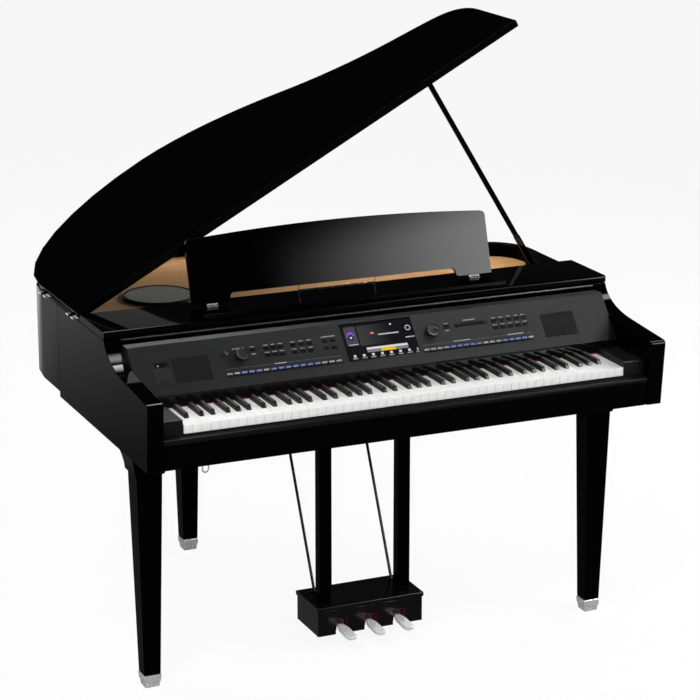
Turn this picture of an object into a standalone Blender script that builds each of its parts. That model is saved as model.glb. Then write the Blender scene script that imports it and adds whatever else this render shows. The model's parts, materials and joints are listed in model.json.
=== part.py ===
"""Digital grand piano: a small grand case on three legs, with an open lid on its prop,
a tilting music desk, a sliding key cover, a sloping control panel and a pedal lyre.

Run with: blender --background --python part.py
Metres, +Z up. The piano is drawn with X = 0 at the middle of the keyboard, Y = 0 at the
front of the arms and Z = 0 on the floor. One empty then carries the whole of it, so that
the origin of the scene lies on the floor under the middle of the bounding box.
"""
import math

import bmesh
import bpy
from mathutils import Matrix, Vector
from mathutils.geometry import interpolate_bezier

# Clearances
GAP = 0.0003                # between pieces that seat on each other
WELD = 0.00001              # merge distance for a mesh made from a curve

# Keyboard's width, which the case is built round
PITCH = 0.0235              # one white key
WHITES = 52
KEY_END = 0.0015            # between the last key and its key block
BLOCK_W = 0.0602            # key block

# Case
TAIL = 0.522                # curved end, behind the side panels
SIDE_PAST_LID = 0.194       # side panels behind the lid's front edge
TOP_Z = 0.928               # upper face of the top board
BOARD_T = 0.020             # top board and lid
CASE_BOTTOM = 0.652         # under the arms, front rail and key bed
CHEEK_T = 0.042             # side panels, arms included
RIM_T = 0.022
RIM_RISE = 0.016            # the rim's lower edge above the side panels' lower edge
LINING_T = CHEEK_T - RIM_T - GAP   # inner rim, flush with the side panels
BOTTOM_T = 0.016
CLEAT = 0.015               # ledge on each side panel, square

# Arms
ARM_TOP = 0.829             # at the front
ARM_REAR_TOP = 0.842        # where the long slope turns up
ARM_LENGTH = 0.175
ARM_LEAN = 0.014            # the front face leans back this much at its foot
ARM_NOSE = 0.010            # rounding of the front upper edge
ARM_SEGMENTS = 8

# Top board and recess
BOARD_FRONT = 0.322
LID_FRONT = 0.516
LID_JOINT = 0.002           # slot between the top board and the lid
FLANGE_T = 0.012            # wall under the back edge of the top board
FLANGE_DROP = 0.041
LEDGE_Y = 0.362             # low strip that stops a sheet of music
LEDGE_HALF = 0.430
LEDGE_SIZE = 0.004
PANEL_DROP = 0.038          # from the rim's upper edge to the sound board panel
SOUND_T = 0.009
BEAM_T = 0.018
BEAM_BEHIND = 0.014         # cross beam, behind the stored key cover

# Lid
LID_INSET = 0.004
LID_ANGLE = math.radians(28.5)
HINGE_OUT = 0.005           # hinge axis outside the case's side
HINGE_R = 0.004
HINGE_LEN = 0.060
HINGE_LEAF = 0.020
HINGE_LEAF_T = 0.002
HINGE_PIN_R = 0.0016
HINGE_BORE_R = 0.0018
HINGE_SKIM = 0.0001         # keeps two hinge faces out of one plane
STRAP_REACH = 0.008         # lid's strap, past the barrel
HINGE_FROM_FRONT = 0.030    # front hinge behind the lid's front edge
HINGE_FROM_END = 0.075      # rear hinge behind the side panel's end
PROP_Y = 0.625
PROP_PIVOT_IN = 0.017       # pivot inside the side panel's inner face
PROP_PIVOT_RISE = 0.019     # pivot above the sound board panel
PROP_W = 0.013
PROP_T = 0.011
PROP_LEAN = math.radians(2.9)     # from square to the lid, towards its hinge
PROP_PIN_R = 0.003
PROP_EAR_T = 0.003
PROP_RUN = 0.0005           # side clearance in the bracket
REST_T = 0.004
REST_LEN = 0.050

# Round loudspeaker in the sound board panel
SPEAKER_FROM_SIDE = 0.315   # its middle, inside the case's left side
SPEAKER_PAST_SIDE = 0.090   # and behind the side panels
SPEAKER_R = 0.097
SPEAKER_HOLE = 0.079
SPEAKER_DEEP = 0.070
GRILLE_T = 0.0045

# Keyboard
KEY_FRONT = 0.036
KEY_TOP = 0.757
WHITE_H = 0.022
KEY_GAP = 0.001
HEAD_LEN = 0.050            # wide part of a white key
KEY_LEN = 0.225
BLACK_W = 0.0110
BLACK_RISE = 0.012
BLACK_TAPER = 0.84
BLACK_FOOT = 0.0114         # its underside below the white key's top
CAP_SLOPE = 0.006
CAP_LEN = 0.090
RAIL_T = 0.012
WHITE_RAIL_DROP = 0.013     # white rail's top below the white keys' top
FIRST_FREE_KEY = 39         # middle C, counted from the lowest key as 0
FREE_KEYS = ("c4", "c_sharp_4", "d4", "d_sharp_4", "e4")
BLACK_SHIFT = {1: -0.0032, 3: 0.0032, 6: -0.0042, 8: 0.0, 10: 0.0042}

# Key slip, front rail, key bed, key blocks
RAIL_FRONT = 0.018
SLIP_DROP = 0.024           # below the white keys
SLIP_H = 0.016
SLIP_FRONT = 0.014
BED_T = 0.028
BED_BACK = 0.520
BLOCK_RISE = 0.014          # above the white keys
BLOCK_CLEAR = 0.0025        # block behind the panel's lower edge

# Control panel
PANEL_Y = 0.182             # lower edge of the slope
PANEL_RISE = 0.033          # above the white keys
PANEL_TILT = math.radians(50.5)
PANEL_LEN = 0.138
PANEL_T = 0.004
PANEL_RETURN = 0.034        # level strip behind the upper edge
PANEL_END_T = 0.003         # closed ends
FOOT_CLEAR = 0.0015         # panel's foot above the white keys
SCREEN_HALF = 0.102
SCREEN_LOW = 0.0285
SCREEN_HIGH = 0.1345
SCREEN_PROUD = 0.0015
SCREEN_DEEP = 0.014
GRILLE_FROM_SIDE = 0.105
GRILLE_W = 0.098
GRILLE_LOW = 0.0285
GRILLE_HIGH = 0.0965
GRILLE_PLATE = 0.0012
BUTTON = (0.014, 0.009)
BUTTON_PROUD = 0.0016
BUTTON_FIT = 0.0004
WEB_T = 0.002
WEB_EDGE = 0.004
ROW_U = 0.0345
UPPER_ROWS = (0.0745, 0.0945)
LEFT_ROW = (-0.425, 0.0199, 16)     # first button, pitch, count
RIGHT_ROW = (0.122, 0.0190, 17)
LEFT_SINGLE = -0.348
LEFT_PAIRS = (-0.312, -0.292, -0.272, -0.238, -0.2155, -0.193, -0.151, -0.128)
RIGHT_SINGLES = (0.195, 0.227, 0.246, 0.265, 0.284, 0.303)
RIGHT_PAIRS = (0.334, 0.356, 0.379, 0.401, 0.421)
KNOB_SINK = 0.0006
VOLUME = (-0.383, 0.082, 0.0145, 0.013)     # across, up, radius, height
EFFECT_KNOB = (-0.423, 0.093, 0.0055, 0.008)
DATA_DIAL = (0.151, 0.085, 0.0160, 0.011)
SPINDLE_R = 0.003
SPINDLE_LEN = 0.010
SPINDLE_FIT = 0.0004
POWER_FROM_SIDE = 0.074
POWER_UP = 0.0815
POWER_SIZE = (0.030, 0.010)
POWER_SINK = 0.0030         # lets the sliding cover pass over it
POWER_DEEP = 0.008
USB_FROM_SIDE = 0.074
USB_UP = 0.0485
USB_SIZE = (0.044, 0.042)
USB_T = 0.003
USB_FIT = 0.0006
USB_TRAVEL = 0.019
USB_GRIP = 0.0012

# Key cover
COVER_AXIS_Y = 0.322
COVER_R = 0.3985
COVER_TOP = 0.9065
COVER_T = 0.004
COVER_SPAN = math.radians(48.5)
COVER_SIDE = 0.0015
COVER_STEPS = 14
LIP_H = 0.0052
LIP_LEN = 0.008
TRACK_W = 0.022
TRACK_T = 0.010
TRACK_FIT = 0.0005

# Music desk
DESK_Y = 0.448
DESK_RISE = 0.005
DESK_LEAN = math.radians(17)
DESK_HALF = 0.432
DESK_H = 0.190
DESK_ARCH = 0.017
DESK_T = 0.010
DESK_CORNER = 0.012
NOTCH_HALF = 0.325
NOTCH_H = 0.026
DESK_HINGE_X = 0.378
DESK_HINGE_LEN = 0.030
DESK_HINGE_R = 0.003
DESK_FOOT_T = 0.0022
STAY_HALF = 0.110
STAY_PIVOT = 0.075
STAY_WIRE = 0.0015
STAY_OFF = 0.002
STAY_FOOT_Y = 0.510

# Legs
FRONT_LEG_IN = 0.073        # middle of a front leg, inside the case's side
FRONT_LEG_Y = 0.243
REAR_LEG_IN = 0.509         # middle of the rear leg, inside the case's left side
REAR_LEG_FROM_BACK = 0.091
LEG_TOP = 0.058             # half width under the case
LEG_BLOCK_H = 0.070
LEG_BLOCK_FOOT = 0.040
LEG_NECK = 0.034
LEG_ANKLE = 0.0225
FERRULE_H = 0.034

# Lyre and pedals
BOX_HALF = 0.153
BOX_FRONT = 0.285
BOX_BACK = 0.430
BOX_LOW = 0.031
BOX_HIGH = 0.113
BOX_LIP = 0.003
BOX_LIP_H = 0.012
POST_X = 0.1145
POST_W = 0.035
POST_FRONT = 0.320
BRACE_FOOT_Y = 0.402
BRACE_TOP_Y = 0.666
BRACE_R = 0.004
BRACE_PLATE_R = 0.011
BRACE_PLATE_T = 0.003
PEDAL_PITCH = 0.084
PEDAL_PIVOT_Y = 0.400
PEDAL_Z = 0.056
PEDAL_REACH = 0.190
PEDAL_H = 0.009
PEDAL_NECK = 0.008          # half width
PEDAL_TOE = 0.0145          # half width
PEDAL_TOE_LEN = 0.075
PEDAL_DROP = math.radians(3.5)
PEDAL_PIN_R = 0.0035
PEDAL_PIN_FIT = 0.0003
SLOT_HALF = 0.017
SLOT_HIGH = 0.074
SLOT_BACK = 0.412

# Headphone hook under the key bed
HOOK_X = -0.548
HOOK_Y = 0.060
HOOK_WIRE = 0.002
HOOK_W = 0.016
HOOK_DROP = 0.022

KEYBOARD_HALF = WHITES * PITCH / 2
INNER = KEYBOARD_HALF + KEY_END + BLOCK_W + GAP
HALF = INNER + CHEEK_T
SIDE_END = LID_FRONT + SIDE_PAST_LID
DEPTH = SIDE_END + TAIL
SHELL_TOP = TOP_Z - BOARD_T
SPEAKER_X = SPEAKER_FROM_SIDE - HALF
SPEAKER_Y = SIDE_END + SPEAKER_PAST_SIDE
GRILLE_OUT = INNER - GRILLE_FROM_SIDE
GRILLE_IN = GRILLE_OUT - GRILLE_W
POWER = (POWER_FROM_SIDE - INNER, POWER_UP)
USB = (USB_FROM_SIDE - INNER, USB_UP)
FRONT_LEG_X = HALF - FRONT_LEG_IN
REAR_LEG_X = REAR_LEG_IN - HALF
RIM_BOTTOM = CASE_BOTTOM + RIM_RISE
SOUND_TOP = SHELL_TOP - PANEL_DROP
SOUND_LOW = SOUND_TOP - SOUND_T
BED_TOP = CASE_BOTTOM + BED_T
SLIP_TOP = KEY_TOP - SLIP_DROP
BLOCK_TOP = KEY_TOP + BLOCK_RISE
PANEL_Z = KEY_TOP + PANEL_RISE
BLOCK_BACK = PANEL_Y - BLOCK_CLEAR
KEY_BACK = KEY_FRONT + KEY_LEN
HINGE_X = -HALF - HINGE_OUT
HINGE_Z = SHELL_TOP + GAP / 2
ALONG_Y = Matrix(((1, 0, 0, 0), (0, 0, -1, 0), (0, 1, 0, 0), (0, 0, 0, 1)))
IN_YZ = Matrix(((0, 0, 1, 0), (1, 0, 0, 0), (0, 1, 0, 0), (0, 0, 0, 1)))

parts = None
cutters = None


def start():
    """Empty the scene and make the two collections."""
    global parts, cutters
    for item in list(bpy.data.objects):
        bpy.data.objects.remove(item)
    parts = bpy.data.collections.new("digital_grand_piano")
    cutters = bpy.data.collections.new("cutters")
    bpy.context.scene.collection.children.link(parts)
    bpy.context.scene.collection.children.link(cutters)


def make_material(name, color, roughness, metallic=0.0):
    """A Principled material with the piece's colour and finish."""
    made = bpy.data.materials.new(name)
    made.use_nodes = True
    shader = made.node_tree.nodes["Principled BSDF"]
    shader.inputs["Base Color"].default_value = (*color, 1.0)
    shader.inputs["Roughness"].default_value = roughness
    shader.inputs["Metallic"].default_value = metallic
    return made


def add_piece(name, mesh, material, location=(0, 0, 0), rotation=(0, 0, 0)):
    """Put a mesh in the piano's collection as one named sub-part."""
    piece = bpy.data.objects.new(name, mesh)
    piece.location = location
    piece.rotation_euler = rotation
    mesh.materials.clear()
    mesh.materials.append(material)
    mesh.shade_smooth()
    mesh.set_sharp_from_angle(angle=math.radians(32))
    parts.objects.link(piece)
    return piece


def add_tool(name, mesh, location=(0, 0, 0), rotation=(0, 0, 0)):
    """Put a mesh aside as the tool of a Boolean."""
    tool = bpy.data.objects.new(name, mesh)
    tool.location = location
    tool.rotation_euler = rotation
    tool.hide_render = True
    tool.display_type = 'WIRE'
    cutters.objects.link(tool)
    return tool


def boolean(piece, tool, operation='DIFFERENCE'):
    """Cut or join a tool."""
    step = piece.modifiers.new(tool.name, 'BOOLEAN')
    step.object = tool
    step.operation = operation


def bevel(piece, width, segments=2, angle=40):
    """Round the edges that are sharper than the angle, in degrees."""
    step = piece.modifiers.new("rounded edges", 'BEVEL')
    step.width = width
    step.segments = segments
    step.limit_method = 'ANGLE'
    step.angle_limit = math.radians(angle)


def box_mesh(low, high, turn=None):
    """A box between two corners."""
    size = [b - a for a, b in zip(low, high)]
    middle = [(a + b) / 2 for a, b in zip(low, high)]
    shape = bmesh.new()
    bmesh.ops.create_cube(shape, size=1, matrix=Matrix.Translation(middle) @ Matrix.Diagonal((*size, 1)))
    if turn:
        shape.transform(turn)
    return to_mesh(shape)


def boxes_mesh(boxes):
    """Several boxes that don't touch, as one mesh."""
    shape = bmesh.new()
    for low, high in boxes:
        size = [b - a for a, b in zip(low, high)]
        middle = [(a + b) / 2 for a, b in zip(low, high)]
        placed = Matrix.Translation(middle) @ Matrix.Diagonal((*size, 1))
        bmesh.ops.create_cube(shape, size=1, matrix=placed)
    return to_mesh(shape)


def cylinder_mesh(radius, low, high, sides=24, turn=None, top_radius=None):
    """A cylinder or cone along Z, from low to high."""
    shape = bmesh.new()
    bmesh.ops.create_cone(shape, cap_ends=True, segments=sides, radius1=radius,
                          radius2=radius if top_radius is None else top_radius, depth=high - low,
                          matrix=Matrix.Translation((0, 0, (low + high) / 2)))
    if turn:
        shape.transform(turn)
    return to_mesh(shape)


def to_mesh(shape, name="shape"):
    """Write a bmesh to a new mesh."""
    mesh = bpy.data.meshes.new(name)
    shape.to_mesh(mesh)
    shape.free()
    return mesh


def prism_mesh(outlines, thickness, turn=None):
    """Flat outlines, filled and given a thickness about their own plane."""
    curve = bpy.data.curves.new("outline", 'CURVE')
    curve.dimensions = '2D'
    curve.fill_mode = 'BOTH'
    curve.extrude = thickness / 2
    for outline in outlines:
        spline = curve.splines.new('POLY')
        spline.points.add(len(outline) - 1)
        for point, (across, up) in zip(spline.points, outline):
            point.co = (across, up, 0, 1)
        spline.use_cyclic_u = True
    return curve_to_mesh(curve, turn)


def wire_mesh(points, radius, resolution=2):
    """A round wire along points, with closed ends."""
    curve = bpy.data.curves.new("wire", 'CURVE')
    curve.dimensions = '3D'
    curve.bevel_depth = radius
    curve.bevel_resolution = resolution
    curve.use_fill_caps = True
    spline = curve.splines.new('POLY')
    spline.points.add(len(points) - 1)
    for point, place in zip(spline.points, points):
        point.co = (*place, 1)
    return curve_to_mesh(curve, None)


def curve_to_mesh(curve, turn):
    """Evaluate a curve, weld its caps and remove it."""
    holder = bpy.data.objects.new("holder", curve)
    bpy.context.scene.collection.objects.link(holder)
    seen = holder.evaluated_get(bpy.context.evaluated_depsgraph_get())
    mesh = bpy.data.meshes.new_from_object(seen)
    bpy.data.objects.remove(holder)
    shape = bmesh.new()
    shape.from_mesh(mesh)
    bmesh.ops.remove_doubles(shape, verts=shape.verts, dist=WELD)
    bmesh.ops.dissolve_limit(shape, angle_limit=0.001, verts=shape.verts, edges=shape.edges)
    bmesh.ops.recalc_face_normals(shape, faces=shape.faces)
    if turn:
        shape.transform(turn)
    shape.to_mesh(mesh)
    shape.free()
    return mesh


def turned(name, profile, material, steps, location, rotation=(0, 0, 0)):
    """A profile of (radius, height), outer side from top to bottom, turned about Z."""
    shape = bmesh.new()
    ring = [shape.verts.new((radius, 0, height)) for radius, height in profile]
    for first, second in zip(ring, ring[1:]):
        shape.edges.new((first, second))
    piece = add_piece(name, to_mesh(shape), material, location, rotation)
    screw = piece.modifiers.new("turn", 'SCREW')
    screw.steps = steps
    screw.render_steps = steps
    screw.use_merge_vertices = True
    screw.merge_threshold = WELD
    return piece


def arc(centre, radius, first, last, steps):
    """Points on an arc, angles in radians from the first axis to the second."""
    angles = [first + (last - first) * i / steps for i in range(steps + 1)]
    return [(centre[0] + radius * math.cos(a), centre[1] + radius * math.sin(a)) for a in angles]


def case_outline(inset=0.0, steps=8):
    """The curved end of the case in plan, from the right side round to the left.

    Each knot has its place as shares of the half width and of the curved end's length,
    its heading in degrees, and how far the curve keeps to that heading before and after
    it, as shares of that length. The points move inwards by the inset.
    """
    shares = ((1.000, 0.067, 90, 0.000, 0.134),
              (0.895, 0.314, 159, 0.086, 0.096),
              (0.699, 0.393, 165, 0.096, 0.220),
              (0.263, 0.684, 144, 0.220, 0.268),
              (-0.315, 1.000, 180, 0.268, 0.479),
              (-1.000, 0.268, 270, 0.431, 0.000))
    knots = [(across * HALF, SIDE_END + back * TAIL, heading, before * TAIL, after * TAIL)
             for across, back, heading, before, after in shares]
    points = []
    for here, there in zip(knots, knots[1:]):
        start_at = Vector(here[:2])
        end_at = Vector(there[:2])
        leave = Vector((math.cos(math.radians(here[2])), math.sin(math.radians(here[2])))) * here[4]
        arrive = Vector((math.cos(math.radians(there[2])), math.sin(math.radians(there[2])))) * there[3]
        run = interpolate_bezier(start_at, start_at + leave, end_at - arrive, end_at, steps + 1)
        points += run[:-1] if there is not knots[-1] else run
    moved = []
    for i, point in enumerate(points):
        if i == 0 or i == len(points) - 1:
            inwards = Vector((-1, 0)) if i == 0 else Vector((1, 0))
        else:
            along = (points[i + 1] - points[i - 1]).normalized()
            inwards = Vector((-along.y, along.x))
        moved.append(tuple(point + inwards * inset))
    return moved


def plan_board(front, inset, step_y=None, step_inset=None):
    """Plan of a board that ends in the case's curve, with a straight front.

    With a step, the board is narrower ahead of step_y, by the other inset.
    """
    back = case_outline(inset)
    right, left = back[0][0], back[-1][0]
    if step_y is None:
        return [(right, front)] + back + [(left, front)]
    narrow = HALF - step_inset
    return [(narrow, front), (narrow, step_y), (right, step_y)] + back + [
        (left, step_y), (-narrow, step_y), (-narrow, front)]


def side_profile():
    """A side panel seen from the side, (y, z): arm, swoop up to the board and back end."""
    nose = arc((ARM_NOSE, ARM_TOP - ARM_NOSE), ARM_NOSE, math.pi, math.pi / 2, 4)
    slope = math.atan2(ARM_REAR_TOP - ARM_TOP, ARM_LENGTH)
    low = Vector((ARM_LENGTH, ARM_REAR_TOP))
    high = Vector((BOARD_FRONT, SHELL_TOP))
    swoop = interpolate_bezier(
        low, low + Vector((math.cos(slope), math.sin(slope))) * 0.085,
        high - Vector((math.cos(math.radians(75)), math.sin(math.radians(75)))) * 0.035,
        high, ARM_SEGMENTS + 1)
    return ([(ARM_LEAN, CASE_BOTTOM)] + nose + [tuple(point) for point in swoop]
            + [(SIDE_END, SHELL_TOP), (SIDE_END, CASE_BOTTOM)])


def cover_track(side):
    """Curved ledge inside a side panel that the key cover runs on."""
    outer = COVER_R - COVER_T - TRACK_FIT
    centre = (COVER_AXIS_Y, COVER_TOP - COVER_R)
    ring = (arc(centre, outer, math.radians(91), math.radians(90) - COVER_SPAN, COVER_STEPS)
            + arc(centre, outer - TRACK_T, math.radians(90) - COVER_SPAN, math.radians(91), COVER_STEPS))
    mesh = prism_mesh([ring], TRACK_W, IN_YZ)
    return add_tool("cover_track", mesh, (side * (INNER - TRACK_W / 2 + GAP), 0, 0))


def make_side_panels(material):
    """Left and right side panels, each with its arm, cover track and cleat."""
    for side, name in ((-1, "left_side_panel"), (1, "right_side_panel")):
        mesh = prism_mesh([side_profile()], CHEEK_T, IN_YZ)
        panel = add_piece(name, mesh, material, (side * (HALF - CHEEK_T / 2), 0, 0))
        bevel(panel, 0.0015, 1)
        boolean(panel, cover_track(side), 'UNION')
        edges = sorted((side * (INNER - CLEAT), side * (INNER + 2 * GAP)))
        cleat = box_mesh((edges[0], SIDE_END - 0.110, SOUND_LOW - GAP - CLEAT),
                         (edges[1], SIDE_END - 0.001, SOUND_LOW - GAP))
        boolean(panel, add_tool("cleat", cleat), 'UNION')
        if side < 0:
            boolean(panel, hinge_pocket(LID_FRONT + HINGE_FROM_FRONT))


def hinge_pocket(front):
    """Shallow pocket in the case's upper edge for a lid hinge's leaf."""
    low = (HINGE_X, front - GAP, SHELL_TOP - HINGE_LEAF_T - GAP)
    high = (HINGE_X + HINGE_OUT + HINGE_LEAF + GAP, front + HINGE_LEN + GAP, SHELL_TOP + 0.005)
    return add_tool("hinge_pocket", box_mesh(low, high))


def make_rim(material, lining_material):
    """The bent outer rim, and the inner rim that carries the sound board panel."""
    for name, inset, thick, low, high, finish in (
            ("curved_rim", 0.0, RIM_T, RIM_BOTTOM, SHELL_TOP, material),
            ("inner_rim", RIM_T + GAP, LINING_T, RIM_BOTTOM, SOUND_LOW - GAP, lining_material)):
        back = case_outline(inset)
        path = [(back[0][0], SIDE_END + GAP)] + back + [(back[-1][0], SIDE_END + GAP)]
        shape = bmesh.new()
        foot = [shape.verts.new((x, y, low)) for x, y in path]
        edges = [shape.edges.new(pair) for pair in zip(foot, foot[1:])]
        raised = bmesh.ops.extrude_edge_only(shape, edges=edges)["geom"]
        bmesh.ops.translate(shape, vec=(0, 0, high - low),
                            verts=[item for item in raised if isinstance(item, bmesh.types.BMVert)])
        bmesh.ops.recalc_face_normals(shape, faces=shape.faces)
        middle = Vector((0, DEPTH / 2, (low + high) / 2))
        first = shape.faces[:][0]
        if first.normal.dot(first.calc_center_median() - middle) < 0:
            bmesh.ops.reverse_faces(shape, faces=shape.faces)
        wall = add_piece(name, to_mesh(shape), finish)
        solidify = wall.modifiers.new("wall", 'SOLIDIFY')
        solidify.thickness = thick
        solidify.offset = -1
        solidify.use_even_offset = True
        if name == "curved_rim":
            boolean(wall, hinge_pocket(SIDE_END + HINGE_FROM_END))


def make_floor_boards(case_material, bed_material):
    """Key bed in front, bottom board behind it, and the beam across the case."""
    bed = box_mesh((-INNER + GAP, KEY_FRONT, CASE_BOTTOM), (INNER - GAP, BED_BACK, BED_TOP))
    add_piece("key_bed", bed, bed_material)
    plan = plan_board(BED_BACK + GAP, CHEEK_T + GAP)
    board = prism_mesh([plan], BOTTOM_T)
    board = add_piece("bottom_board", board, bed_material, (0, 0, RIM_BOTTOM + BOTTOM_T / 2))
    front = COVER_AXIS_Y + COVER_R * math.sin(COVER_SPAN) + BEAM_BEHIND
    beam = box_mesh((-INNER + CLEAT + GAP, front, RIM_BOTTOM + BOTTOM_T / 2),
                    (INNER - CLEAT - GAP, front + BEAM_T, SOUND_LOW - GAP))
    boolean(board, add_tool("cross_beam", beam), 'UNION')


def make_front(case_material, slip_material):
    """Front rail, key slip on it, and the key blocks at the keyboard's ends."""
    rail = box_mesh((-INNER + GAP, RAIL_FRONT, CASE_BOTTOM),
                    (INNER - GAP, KEY_FRONT - GAP, SLIP_TOP - SLIP_H - GAP))
    add_piece("front_rail", rail, case_material)
    radius = 0.006
    profile = ([(SLIP_FRONT, SLIP_TOP - SLIP_H), (SLIP_FRONT, SLIP_TOP - 0.004 - radius)]
               + arc((SLIP_FRONT + radius, SLIP_TOP - 0.004 - radius), radius, math.pi, math.pi / 2, 4)[1:]
               + [(KEY_FRONT - 0.004, SLIP_TOP), (KEY_FRONT - 0.002, SLIP_TOP - 0.002),
                  (KEY_FRONT - 0.002, SLIP_TOP - SLIP_H)])
    add_piece("key_slip", prism_mesh([profile], 2 * (INNER - GAP), IN_YZ), slip_material)
    for side, name in ((-1, "left_key_block"), (1, "right_key_block")):
        ends = sorted((side * (KEYBOARD_HALF + KEY_END), side * (INNER - GAP)))
        block = box_mesh((ends[0], KEY_FRONT, BED_TOP + GAP), (ends[1], BLOCK_BACK, BLOCK_TOP))
        bevel(add_piece(name, block, case_material), 0.002, 2)


def make_top_board(material):
    """Fixed board between keyboard and lid, with the recess's front wall and the music ledge."""
    back = LID_FRONT - LID_JOINT
    radius = BOARD_T * 0.3
    low = SHELL_TOP + GAP
    profile = ([(BOARD_FRONT + radius, low)]
               + arc((BOARD_FRONT + radius, low + radius), radius, -math.pi / 2, -math.pi, 3)[1:]
               + arc((BOARD_FRONT + radius, TOP_Z - radius), radius, math.pi, math.pi / 2, 3)
               + [(back, TOP_Z), (back, low)])
    board = add_piece("top_board", prism_mesh([profile], 2 * HALF, IN_YZ), material)
    wall = box_mesh((-INNER + GAP, back - FLANGE_T, SHELL_TOP - FLANGE_DROP),
                    (INNER - GAP, back, SHELL_TOP + 2 * GAP))
    boolean(board, add_tool("recess_wall", wall), 'UNION')
    ledge = box_mesh((-LEDGE_HALF, LEDGE_Y, TOP_Z - GAP),
                     (LEDGE_HALF, LEDGE_Y + 1.5 * LEDGE_SIZE, TOP_Z + LEDGE_SIZE))
    boolean(board, add_tool("music_ledge", ledge), 'UNION')


def make_sound_panel(wood, metal, mesh_material):
    """Wooden panel in the recess, its loudspeaker and the round grille over it."""
    plan = plan_board(LID_FRONT - LID_JOINT + GAP, RIM_T + GAP, SIDE_END + 2 * GAP, CHEEK_T + GAP)
    hole = arc((SPEAKER_X, SPEAKER_Y), SPEAKER_HOLE, 0, 2 * math.pi, 32)[:-1]
    panel = prism_mesh([plan, hole], SOUND_T)
    add_piece("soundboard_panel", panel, wood, (0, 0, SOUND_LOW + SOUND_T / 2))
    flange, neck = SPEAKER_R - 0.005, SPEAKER_HOLE - 0.001
    turned("round_speaker",
           [(0, 0.0), (0.018, -0.004), (SPEAKER_HOLE - 0.017, 0.0022), (SPEAKER_HOLE - 0.005, 0.0030),
            (flange, 0.0030), (flange, GAP), (neck, GAP), (neck, -SOUND_T - 0.004),
            (neck * 0.64, -SPEAKER_DEEP * 0.6), (neck * 0.5, -SPEAKER_DEEP), (0, -SPEAKER_DEEP)],
           metal, 32, (SPEAKER_X, SPEAKER_Y, SOUND_TOP))
    skirt = SPEAKER_R - 0.0035
    turned("round_speaker_grille",
           [(0, 0.0084), (skirt - 0.003, 0.0084), (skirt, 0.0100), (SPEAKER_R - 0.001, 0.0100), (SPEAKER_R, 0.0088),
            (SPEAKER_R, GAP), (skirt, GAP), (skirt, 0.0084 - GRILLE_T), (0, 0.0084 - GRILLE_T)],
           mesh_material, 40, (SPEAKER_X, SPEAKER_Y, SOUND_TOP))


def hinge_leaf_mesh(leaf_low, leaf_high, reach):
    """Leaf of a lid hinge, lying from its barrel over the case or the lid."""
    return box_mesh((0.0005, 0.0005, leaf_low), (reach, HINGE_LEN - 0.0005, leaf_high))


def make_lid(material, metal):
    """Lid, turning on two butt hinges along the left edge of the case."""
    plan = [(x - HINGE_X, y) for x, y in plan_board(LID_FRONT, LID_INSET)]
    mesh = prism_mesh([plan], BOARD_T - GAP)
    low = SHELL_TOP + GAP - HINGE_Z
    mesh.transform(Matrix.Translation((0, 0, low + (BOARD_T - GAP) / 2)))
    lid = add_piece("lid", mesh, material, (HINGE_X, 0, HINGE_Z), (0, -LID_ANGLE, 0))
    bevel(lid, 0.002, 1)
    fronts = (("front_lid_hinge", LID_FRONT + HINGE_FROM_FRONT), ("rear_lid_hinge", SIDE_END + HINGE_FROM_END))
    for name, front in fronts:
        leaf = hinge_leaf_mesh(-HINGE_LEAF_T, -GAP / 2 - HINGE_SKIM, HINGE_OUT + HINGE_LEAF)
        piece = add_piece(name, leaf, metal, (HINGE_X, front, HINGE_Z))
        third = HINGE_LEN / 3
        for first, last in ((0, third - GAP), (2 * third + GAP, HINGE_LEN)):
            knuckle = cylinder_mesh(HINGE_R, first, last, 12, ALONG_Y.inverted())
            boolean(piece, add_tool("knuckle", knuckle, (HINGE_X, front, HINGE_Z)), 'UNION')
        room = cylinder_mesh(HINGE_R + GAP, third - 2 * HINGE_SKIM, 2 * third + 2 * HINGE_SKIM, 12, ALONG_Y.inverted())
        boolean(piece, add_tool("knuckle_room", room, (HINGE_X, front, HINGE_Z)))
        pin = cylinder_mesh(HINGE_PIN_R, 0.001, HINGE_LEN - 0.001, 10, ALONG_Y.inverted())
        boolean(piece, add_tool("pin", pin, (HINGE_X, front, HINGE_Z)), 'UNION')
        strap = box_mesh((HINGE_R * 0.55, front + third + 2 * GAP, low + GAP),
                         (HINGE_R + STRAP_REACH, front + 2 * third - 2 * GAP, low + GAP + HINGE_LEAF_T))
        boolean(lid, add_tool("strap", strap, (HINGE_X, 0, HINGE_Z), (0, -LID_ANGLE, 0)), 'UNION')
        barrel = cylinder_mesh(HINGE_R, front + third + GAP, front + 2 * third - GAP, 12, ALONG_Y.inverted())
        boolean(lid, add_tool("barrel", barrel, (HINGE_X, 0, HINGE_Z), (0, -LID_ANGLE, 0)), 'UNION')
        bore = cylinder_mesh(HINGE_BORE_R, front, front + HINGE_LEN, 12, ALONG_Y.inverted())
        boolean(lid, add_tool("bore", bore, (HINGE_X, 0, HINGE_Z), (0, -LID_ANGLE, 0)))


def prop_places():
    """Prop pivot, its length to the lid and its heading from upright, towards the hinge."""
    pivot = Vector((INNER - PROP_PIVOT_IN, SOUND_TOP + PROP_PIVOT_RISE))
    hinge = Vector((HINGE_X, HINGE_Z))
    along = Vector((math.cos(LID_ANGLE), math.sin(LID_ANGLE)))
    down = Vector((math.sin(LID_ANGLE), -math.cos(LID_ANGLE)))
    depth = (pivot - hinge).dot(down) + (SHELL_TOP + GAP - HINGE_Z) - REST_T - 2 * GAP
    length = depth / math.cos(PROP_LEAN)
    foot = (pivot - hinge).dot(along) - length * math.sin(PROP_LEAN)
    return pivot, length, LID_ANGLE + PROP_LEAN, foot


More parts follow.
